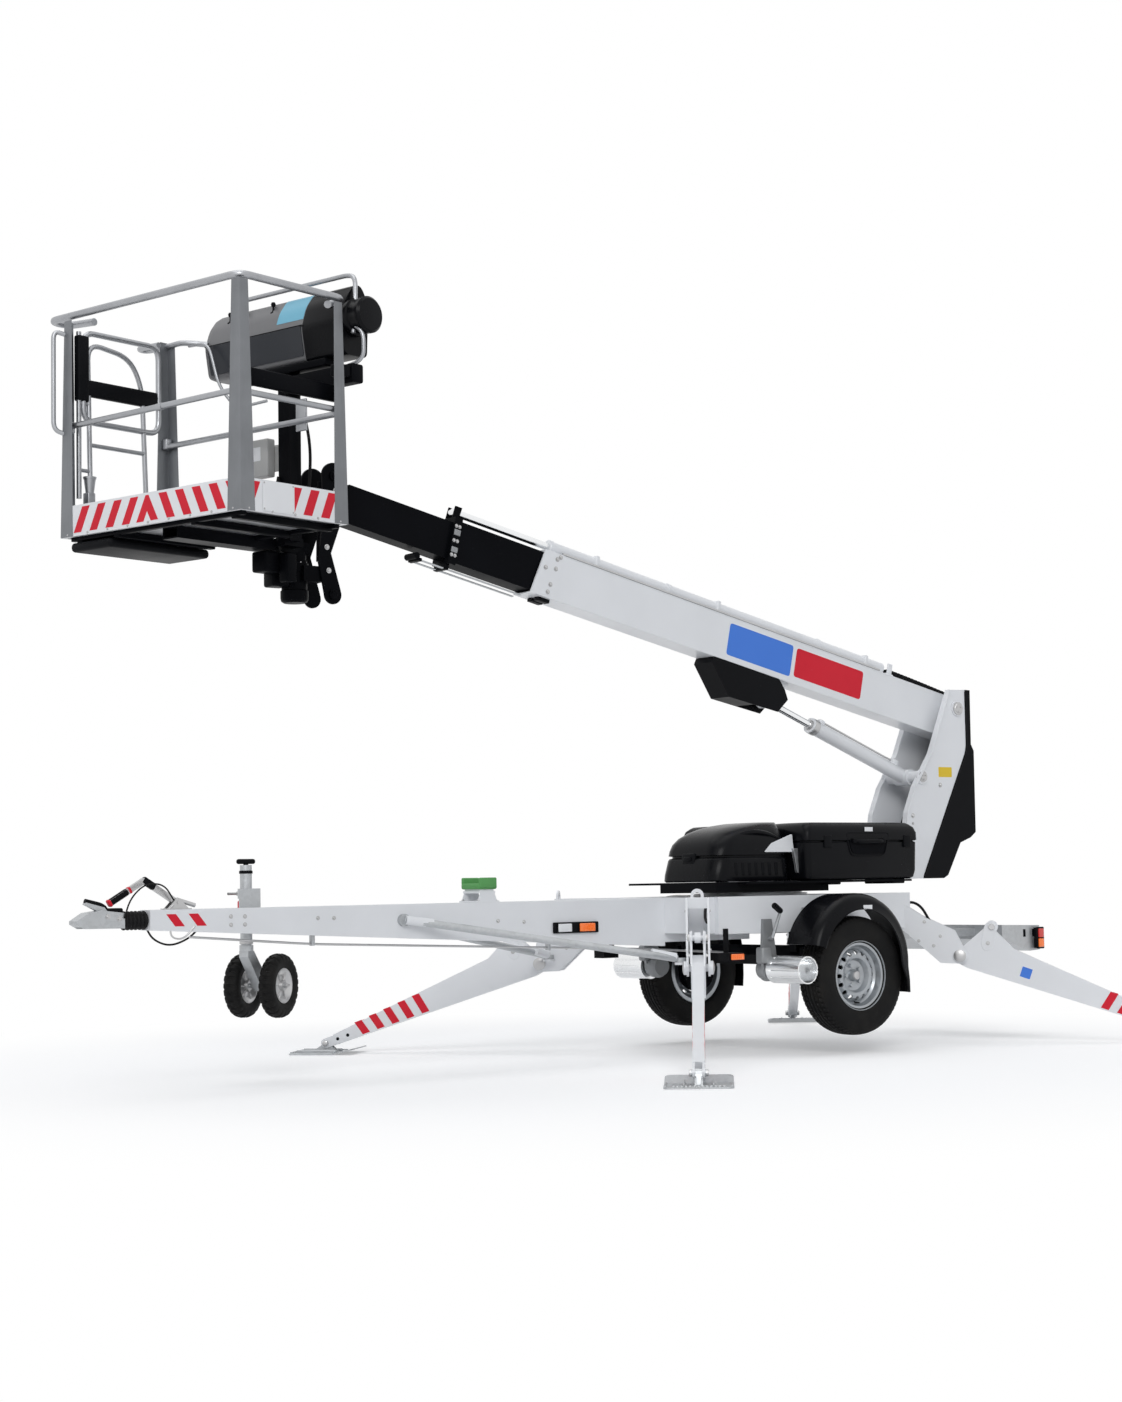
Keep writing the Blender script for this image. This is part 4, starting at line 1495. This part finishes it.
@dataclass
class Jockey:
    """The jockey leg's handle and clamp screw, and its pair of wheels."""

    x: float = 3.420
    z: float = 0.484
    turn: float = math.radians(31)
    gap: float = 0.100
    out: float = 0.043
    trail: float = 0.150
    blocks: int = 24
    tread: float = 0.0060
    cut: float = 0.26

    def wheel(self, side: int) -> tuple[Shape, Shape, Shape]:
        """Makes one wheel: a block-treaded tyre, a dished plastic hub and a hub nut."""
        y = -bar_half(self.x) - self.out
        c, s = math.cos(self.turn), math.sin(self.turn)
        hub = MACHINE.moved(self.x - self.trail * c, y - self.trail * s, self.z)
        axis = Place(hub.origin, (c, s, 0.0), (0.0, 0.0, 1.0), (s, -c, 0.0)).moved(z=-side * self.gap)
        section = np.array([(0.086, -0.030), (0.112, -0.0385), (0.130, -0.040), (0.146, -0.036),
                            (0.156, -0.029), (0.1600, -0.020), (0.1625, -0.010), (0.1630, 0.0),
                            (0.1625, 0.010), (0.1600, 0.020), (0.156, 0.029), (0.146, 0.036),
                            (0.130, 0.040), (0.112, 0.0385), (0.086, 0.030)])
        a = np.linspace(0, 2 * np.pi, 192, endpoint=False)[:, None]
        phase = (a * self.blocks / (2 * np.pi) + 0.5 * (section[:, 1] > 0)) % 1.0
        cut = self.tread * (phase < self.cut) * (section[:, 0] > 0.143)
        r = section[:, 0] - cut - 0.004 * (np.abs(section[:, 1]) < 0.004)
        rows = np.stack([r * np.cos(a), r * np.sin(a), section[:, 1] + 0 * a], -1)
        tyre = surface(axis.put(rows), wrap_u=True, wrap_v=True)
        disc = lathe([(0.0125, -0.034), (0.026, -0.034), (0.030, -0.018), (0.056, -0.012), (0.076, -0.022),
                      (0.084, -0.032), (0.0885, -0.032), (0.088, 0.0), (0.0885, 0.032), (0.084, 0.032),
                      (0.076, 0.022), (0.056, 0.012), (0.030, 0.018), (0.026, 0.034), (0.0125, 0.034)],
                     axis, 40, True)
        ribs = [block((0.026, -0.003, -0.024), (0.082, 0.003, 0.024), 0.002,
                      axis.facing((math.cos(t), math.sin(t), 0), (-math.sin(t), math.cos(t), 0)))
                for t in np.linspace(0, 2 * math.pi, 7)[:-1]]
        end = -1.0 if side > 0 else 1.0
        nut = lathe([(0, 0.052 * end), (0.011, 0.052 * end), (0.013, 0.046 * end), (0.013, 0.036 * end),
                     (0, 0.036 * end)], axis, 6)
        return tyre, Shape.joined([disc] + ribs), nut

    def build(self) -> None:
        """Makes both wheels, the crank handle, the clamp lever and the leg's bands."""
        tyres, hubs, nuts = (list(parts) for parts in zip(*(self.wheel(side) for side in (1, -1))))
        piece("jockey_tyres", tyres, TYRE, "jockey_wheels", ("jockey_wheels",))
        piece("jockey_hubs", hubs, STEEL, "jockey_wheels")
        piece("jockey_nuts", nuts, STEEL, "jockey_fork")
        y = -bar_half(self.x) - self.out
        top = MACHINE.moved(self.x, y, 0)
        grip = [block((-0.052, -0.013, 1.100), (0.052, 0.013, 1.126), 0.011, top),
                lathe([(0, 1.102), (0.012, 1.102), (0.014, 1.090), (0.022, 1.088), (0.024, 1.070),
                       (0.034, 1.066), (0.0345, 1.052), (0, 1.052)], top, 32)]
        piece("jockey_handle", grip, MATT, "chassis")
        bands = [lathe([(0.0302, z), (0.0345, z + 0.001), (0.0345, z + 0.020), (0.0302, z + 0.021)], top,
                       36, True) for z in (0.70, 0.865, 0.895)]
        lever = tube([(-0.055, -0.086, 0.952), (0.055, -0.086, 0.952)], 0.014, top)
        screw = block((-0.020, -0.064, 0.940), (0.020, -0.036, 0.964), 0.004, top)
        piece("jockey_bands", bands + [lever, screw], STEEL, "chassis")
        sleeve = block((-0.020, -0.055, 0.872), (0.020, -0.030, 0.915), 0.005, top)
        piece("jockey_catch", sleeve, RED, "chassis")


@dataclass
class Outriggers:
    """Fittings of the four outriggers: films, holes, pins, horn plates and foot edges."""

    half: float = 0.030
    case: float = 0.064
    pitch: float = 0.095
    patch: float = 0.046
    slant: float = 0.026

    def arm(self, name: str, front: bool, side: int) -> None:
        """Dresses one arm.

        Args:
            name: Name of the corner, such as front_left.
            front: Whether the arm is at the front.
            side: 1 on the left, -1 on the right.
        """
        here = arm_place(front, side)
        body = "outrigger_" + name
        films, pins, holes, plates = [], [], [], []
        for face in (1, -1):
            wall, flip = flank(here, face, self.half), -face
            for s in np.arange(0.720 if front else 0.850, 1.13, self.pitch):
                low = -0.050 + 0.022 * (s / ARM_LEN)
                high = 0.118 - 0.078 * ((s - 0.27) / 1.05)
                outline = [(flip * s, low + 0.006), (flip * (s + self.patch), low + 0.006),
                           (flip * (s + self.patch + self.slant), high), (flip * (s + self.slant), high)]
                films.append(slab(outline, 0.0, FILM, wall))
            for s in (1.235, 1.30):
                holes.append(lathe([(0, FILM), (0.009, FILM), (0.010, 0.0), (0, 0.0)], wall.moved(flip * s),
                                   20))
            cheek = wall.moved(z=0.008)
            drop = rounded([(flip * 0.10, 0.250), (flip * 0.150, 0.235), (flip * 0.168, 0.110),
                            (flip * 0.140, 0.070), (flip * 0.098, 0.085), (flip * 0.078, 0.215)], 0.035,
                           True)
            plates.append(slab(drop, 0.0, 0.005, cheek))
            pins.append(lathe([(0, 0.018), (0.016, 0.018), (0.018, 0.015), (0.018, 0.0), (0, 0.0)],
                              cheek.moved(flip * 0.122, 0.217), 28))
            pins.append(bolt_heads([(flip * 0.130, 0.120, 0.005)], cheek, 0.017, 0.009))
            pins.append(lathe([(0, 0.010), (0.013, 0.010), (0.0165, 0.008), (0.017, 0.0), (0, 0.0)],
                              wall.moved(flip * ARM_LEN, 0.0, 0.008), 24))
        piece("arm_films_" + name, films, RED, body)
        piece("arm_holes_" + name, holes, BLACK, body)
        piece("arm_horn_plates_" + name, plates, WHITE, body, bevel=0.0012)
        piece("arm_pins_" + name, pins, STEEL, body)
        for letter, face in (() if front else (("a", 1), ("b", -1))):
            wall, flip = flank(here, face, self.half), -face
            for word, edge, bend, thick, tint in (("card", 0.005, 0.004, FILM, PALE),
                                                  ("blue", 0.0, 0.003, 0.0012, BLUE)):
                outline = card(flip * (0.360 - edge), flip * (0.420 + edge), -0.005 - edge, 0.055 + edge,
                               bend)
                piece(f"arm_{word}_{name}_{letter}", slab(outline, 0.0, thick, wall), tint, body)

    def foot(self, name: str, front: bool, side: int) -> None:
        """Dresses one foot plate: a toothed outer edge, a raised rim, ribs and two webs at the pin."""
        at = corner(front, side).moved(ARM_PLAN, 0, -HINGE_Z)
        body = "foot_" + name
        teeth = [block((0.176, y - 0.006, 0.0065), (0.1895, y + 0.006, 0.016), 0.002, at)
                 for y in np.linspace(-0.120, 0.120, 13)]
        ribs = [block((-0.075, y - 0.004, 0.007), (0.165, y + 0.004, 0.024), 0.003, at)
                for y in (-0.070, 0.070)]
        rim = [block((-0.082, y - 0.004, 0.0065), (0.155, y + 0.004, 0.014), 0.002, at)
               for y in (-0.160, 0.160)]
        piece("foot_edges_" + name, teeth + ribs + rim, GALV, body)
        web = []
        for y in (-0.016, 0.016):
            out = Place(tuple(at.put((0, y, 0))), at.x, at.z, tuple(-v for v in at.y))
            web.append(slab([(-0.075, 0.007), (0.090, 0.007), (0.030, 0.048), (-0.030, 0.048)], -0.004,
                            0.004, out))
        piece("foot_webs_" + name, web, GALV, body)

    def cases(self, name: str, front: bool, side: int) -> None:
        """Dresses one corner of the chassis: hinge caps, side bolts and the short hose to the leg."""
        here = corner(front, side)
        bolts, caps = [], []
        for face in (1, -1):
            wall, flip = flank(here, face, self.case), -face
            caps.append(lathe([(0, 0.022), (0.012, 0.022), (0.030, 0.0185), (0.0365, 0.0145),
                               (0.0365, 0.010), (0, 0.010)], wall, 32))
            spots = [(-0.150, 0.060), (-0.110, 0.115), (-0.200, 0.200), (-0.235, 0.090)] if not front else [
                (-0.190, 0.300), (-0.300, 0.300), (-0.160, 0.090)]
            bolts.append(bolt_heads([(flip * u, v, 0.0) for u, v in spots], wall, 0.014, 0.007))
        piece("hinge_caps_" + name, caps, STEEL, "chassis")
        piece("case_bolts_" + name, bolts, STEEL, "chassis")
        route = [(-0.330, 0.0, 0.300), (-0.275, 0.020, 0.320), (-0.220, 0.030, 0.290),
                 (-0.170, 0.044, 0.198)]
        if front:
            route = [(-0.300, 0.050, 0.330), (-0.220, 0.040, 0.300), (-0.130, 0.040, 0.260),
                     (-0.060, 0.050, 0.240)]
        hose("leg_hose_" + name, route, 0.016, RUBBER, "chassis", here, 0.04)

    def build(self) -> None:
        """Dresses all four corners."""
        for end, front in (("front", True), ("rear", False)):
            for word, side in SIDES:
                name = end + "_" + word
                self.arm(name, front, side)
                self.foot(name, front, side)
                self.cases(name, front, side)


@dataclass
class Chassis:
    """Fittings of the chassis: drive units, pipes, rear beam slots, dampers and the turret's seal."""

    def build(self) -> None:
        """Makes the chassis fittings."""
        motors, levers, grips = [], [], []
        for _, side in SIDES:
            hub = Place(tuple(MACHINE.put((0.424, side * 0.50, 0.476))), (1.0, 0.0, 0.0),
                        (0.0, 0.0, -float(side)), (0.0, float(side), 0.0))
            motors.append(lathe([(0, 0.036), (0.050, 0.036), (0.0585, 0.030), (0.060, 0.010), (0.066, 0.006),
                                 (0.068, -0.030), (0.060, -0.045), (0.050, -0.060), (0, -0.062)], hub, 36))
            motors.append(block((0.44, side * 0.515 - 0.03, 0.51), (0.52, side * 0.515 + 0.03, 0.60), 0.012))
            levers.append(tube([(0.455, side * 0.560, 0.655), (0.462, side * 0.640, 0.806)], 0.018))
            grips.append(tube([(0.462, side * 0.634, 0.802), (0.554, side * 0.690, 0.832)], 0.034))
        piece("drive_motors", motors, CAST, "chassis", smooth=40)
        piece("drive_levers", levers, GALV, "chassis")
        piece("drive_grips", grips, MATT, "chassis")
        pipes = [tube([(0.80, side * y, z), (-0.60, side * y, z - 0.010)], 0.014)
                 for _, side in SIDES for y, z in ((0.440, 0.700), (0.415, 0.705))]
        piece("chassis_pipes", pipes, STEEL, "chassis")
        holes = []
        for _, side in SIDES:
            for x in (-1.70, -1.62):
                holes.append(block((x - 0.010, side * 0.5605 - 0.002, 0.600),
                                   (x + 0.010, side * 0.5605 + 0.002, 0.646), 0.0018))
        piece("rear_beam_slots", holes, BLACK, "chassis")
        shock = [tube([(-0.02, side * 0.505, 0.470), (-0.16, side * 0.505, 0.660)], 0.050)
                 for _, side in SIDES]
        shock += [tube([(-0.16, side * 0.505, 0.660), (-0.195, side * 0.505, 0.705)], 0.026)
                  for _, side in SIDES]
        piece("axle_dampers", shock, MATT, "chassis")
        seal = lathe([(0.296, 0.9405), (0.309, 0.9405), (0.312, 0.946), (0.309, 0.9505), (0.296, 0.9505)],
                     MACHINE.moved(0.107), 72, True)
        piece("ring_seal", seal, RUBBER, "turret")


@dataclass
class Studio:
    """The plain room: a pale floor, soft lights and the camera at the photograph's view."""

    eye: tuple[float, ...] = (9.44812, 10.35907, 0.98163)
    ahead: tuple[float, ...] = (-0.607925, -0.790332, 0.076176)
    right: tuple[float, ...] = (-0.793330, 0.608538, -0.017566)
    up: tuple[float, ...] = (0.032473, 0.071111, 0.996940)
    focal: float = 2370.2
    width: float = 1122.0
    fill: float = 0.42
    side: float = 0.92
    top: float = 0.76
    box: float = 9.0
    lift: float = 0.26

    def camera(self) -> None:
        """Places the camera: its columns are right, up and backwards; the focal length sets the lens."""
        data = bpy.data.cameras.new("view_camera")
        data.sensor_fit, data.sensor_width = "HORIZONTAL", 36.0
        data.lens = self.focal / self.width * 36.0
        data.clip_end = 200.0
        thing = bpy.data.objects.new("view_camera", data)
        bpy.context.scene.collection.objects.link(thing)
        back = [-v for v in self.ahead]
        rows = [[self.right[i], self.up[i], back[i], self.eye[i]] for i in range(3)]
        rows[0][3] += AXLE_X
        thing.matrix_world = Matrix(rows + [[0, 0, 0, 1]])
        bpy.context.scene.camera = thing

    @staticmethod
    def add(tree: bpy.types.NodeTree, *kinds: str) -> list:
        """Adds one shader node of each kind to a tree."""
        return [tree.nodes.new("ShaderNode" + kind) for kind in kinds]

    @staticmethod
    def seen(tree: bpy.types.NodeTree) -> bpy.types.NodeSocket:
        """Returns a socket that is 1 for camera, glossy and transmission rays."""
        ray, total = tree.nodes.new("ShaderNodeLightPath"), None
        for word in ("Is Camera Ray", "Is Glossy Ray", "Is Transmission Ray"):
            if total is None:
                total = ray.outputs[word]
                continue
            either = tree.nodes.new("ShaderNodeMath")
            either.operation = "MAXIMUM"
            tree.links.new(total, either.inputs[0])
            tree.links.new(ray.outputs[word], either.inputs[1])
            total = either.outputs[0]
        return total

    def floor(self) -> None:
        """Lays a pale floor: it keeps the shadows, and turns plain white away from the machine."""
        a = np.linspace(0, 2 * np.pi, 96, endpoint=False)[:, None]
        r = np.array([0.0, 3.0, 6.0, 10.0, 20.0, 60.0])
        rows = np.stack([r * np.cos(a), r * np.sin(a), 0 * r + 0 * a - 0.0006], -1)
        shape = surface(rows, wrap_u=True)
        mesh = bpy.data.meshes.new("studio_floor")
        mesh.from_pydata(shape.verts.tolist(), [], shape.quads.tolist())
        thing = bpy.data.objects.new("studio_floor", mesh)
        bpy.context.scene.collection.objects.link(thing)
        mat = bpy.data.materials.new("studio_floor")
        mat.use_nodes = True
        tree = mat.node_tree
        tree.nodes.clear()
        out, lit, glow, lift = self.add(tree, "OutputMaterial", "BsdfDiffuse", "Emission", "Emission")
        lit.inputs["Color"].default_value = (0.86, 0.86, 0.865, 1)
        glow.inputs["Color"].default_value = lift.inputs["Color"].default_value = (1, 1, 1, 1)
        where, dist, fade = self.add(tree, "TexCoord", "VectorMath", "MapRange")
        strength, both, mix, plus = self.add(tree, "Math", "Math", "MixShader", "AddShader")
        dist.operation = "LENGTH"
        fade.interpolation_type = "SMOOTHSTEP"
        fade.inputs["From Min"].default_value, fade.inputs["From Max"].default_value = 2.2, 5.2
        both.operation = strength.operation = "MULTIPLY"
        strength.inputs[1].default_value = self.lift
        seen = self.seen(tree)
        for source, target in (
                (where.outputs["Object"], dist.inputs[0]), (dist.outputs["Value"], fade.inputs["Value"]),
                (fade.outputs["Result"], both.inputs[0]), (seen, both.inputs[1]), (seen, strength.inputs[0]),
                (strength.outputs[0], lift.inputs["Strength"]), (lit.outputs[0], plus.inputs[0]),
                (lift.outputs[0], plus.inputs[1]), (both.outputs[0], mix.inputs[0]),
                (plus.outputs[0], mix.inputs[1]), (glow.outputs[0], mix.inputs[2]),
                (mix.outputs[0], out.inputs[0])):
            tree.links.new(source, target)
        mesh.materials.append(mat)

    @staticmethod
    def aimed(name: str, kind: str, spot: tuple[float, ...], aim: tuple[float, ...]) -> bpy.types.Light:
        """Hangs one lamp.

        Args:
            name: Its name.
            kind: SUN or AREA.
            spot: Where it hangs.
            aim: The point it shines at.

        Returns:
            The lamp's data.
        """
        data = bpy.data.lights.new(name, kind)
        lamp = bpy.data.objects.new(name, data)
        bpy.context.scene.collection.objects.link(lamp)
        z = np.array(spot) - np.array(aim)
        z /= np.linalg.norm(z)
        x = np.cross([0, 0, 1], z)
        x /= np.linalg.norm(x)
        y = np.cross(z, x)
        lamp.matrix_world = Matrix([[x[i], y[i], z[i], spot[i]] for i in range(3)] + [[0, 0, 0, 1]])
        return data

    def lights(self) -> None:
        """Sets the world, white to the eye and plainer on the object, with two suns and a soft box."""
        world = bpy.data.worlds.new("studio_world")
        bpy.context.scene.world = world
        world.use_nodes = True
        tree = world.node_tree
        tree.nodes.clear()
        out, mix, white, fill = self.add(tree, "OutputWorld", "MixShader", "Background", "Background")
        white.inputs["Color"].default_value, white.inputs["Strength"].default_value = (1, 1, 1, 1), 1.0
        fill.inputs["Color"].default_value = (0.93, 0.96, 1.0, 1)
        fill.inputs["Strength"].default_value = self.fill
        tree.links.new(self.seen(tree), mix.inputs[0])
        tree.links.new(fill.outputs[0], mix.inputs[1])
        tree.links.new(white.outputs[0], mix.inputs[2])
        tree.links.new(mix.outputs[0], out.inputs[0])
        side = self.aimed("side_sun", "SUN", (5.0, 6.5, 4.6), (0.0, 0.0, 0.0))
        side.energy, side.angle = self.side, math.radians(24)
        top = self.aimed("top_sun", "SUN", (0.8, -1.2, 8.0), (0.0, 0.0, 0.0))
        top.energy, top.angle = self.top, math.radians(50)
        box = self.aimed("soft_box", "AREA", (4.6, 2.4, 4.8), (-0.2, 0.3, 1.0))
        box.size, box.energy = 2.2, self.box

    def build(self) -> None:
        """Sets up the camera, the floor and the light."""
        bpy.context.scene.view_settings.view_transform = "Standard"
        self.camera()
        self.floor()
        self.lights()


NODE_FINISH: dict[str, Finish] = {"drawbar": WHITE, "chassis_frame": WHITE, "axle_beam": BLACK,
                                  "fenders": MOULD, "coupling": GALV, "coupling_bellows": RUBBER,
                                  "handbrake_lever": STEEL, "jockey_clamp": GALV, "brace_rods": GALV,
                                  "boom_rest": WHITE, "lamp_carrier": GALV, "lamps": MATT,
                                  "drive_units": CAST, "roller_left": CHROME, "roller_right": CHROME,
                                  "turret_frame": WHITE, "turret_tray": BLACK, "tower": WHITE,
                                  "tower_cover": MATT, "engine_hood": MOULD, "toolbox": MOULD,
                                  "side_cabinet": MOULD, "lift_barrel": WHITE, "lift_rod": CHROME,
                                  "boom_outer": WHITE, "telescope_barrel": WHITE, "hose_cover": MATT,
                                  "boom_middle": BLACK, "telescope_rod": CHROME, "boom_inner": BLACK,
                                  "levelling_head": BLACK, "basket_carrier": BLACK, "basket_floor": ALLOY,
                                  "basket_frame": ALLOY, "toe_boards": PALE, "control_console": SHELL,
                                  "basket_gate": ALLOY, "tyre_left": TYRE, "rim_left": WHEEL,
                                  "tyre_right": TYRE, "rim_right": WHEEL, "jockey_tube": GALV,
                                  "jockey_leg": GALV, "jockey_fork": GALV, "jockey_wheels": TYRE, }


def dress_frame(nodes: dict[str, bpy.types.Object]) -> None:
    """Gives every carried-over part its finish.

    Args:
        nodes: The frame's objects by name.
    """
    for name, thing in nodes.items():
        finish = NODE_FINISH.get(name, WHITE if name.startswith("outrigger") else GALV)
        thing.data.materials.clear()
        thing.data.materials.append(finish.material())
        log.info("%s wears %s", name, finish.name)


def main() -> None:
    """Builds the room and every sub-assembly."""
    logging.basicConfig(level=logging.INFO, format="%(name)s: %(message)s")
    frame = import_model()
    Studio().build()
    dress_frame(frame["nodes"])
    for part in (RoadWheel(), Mudguards(), SideBoxes(), Bonnet(), Tower(), Boom(), LiftCylinder(), Basket(),
                 Head(), Drawbar(), Jockey(), Outriggers(), Chassis()):
        log.info("building %s", type(part).__name__)
        part.build()


if __name__ == "__main__":
    main()
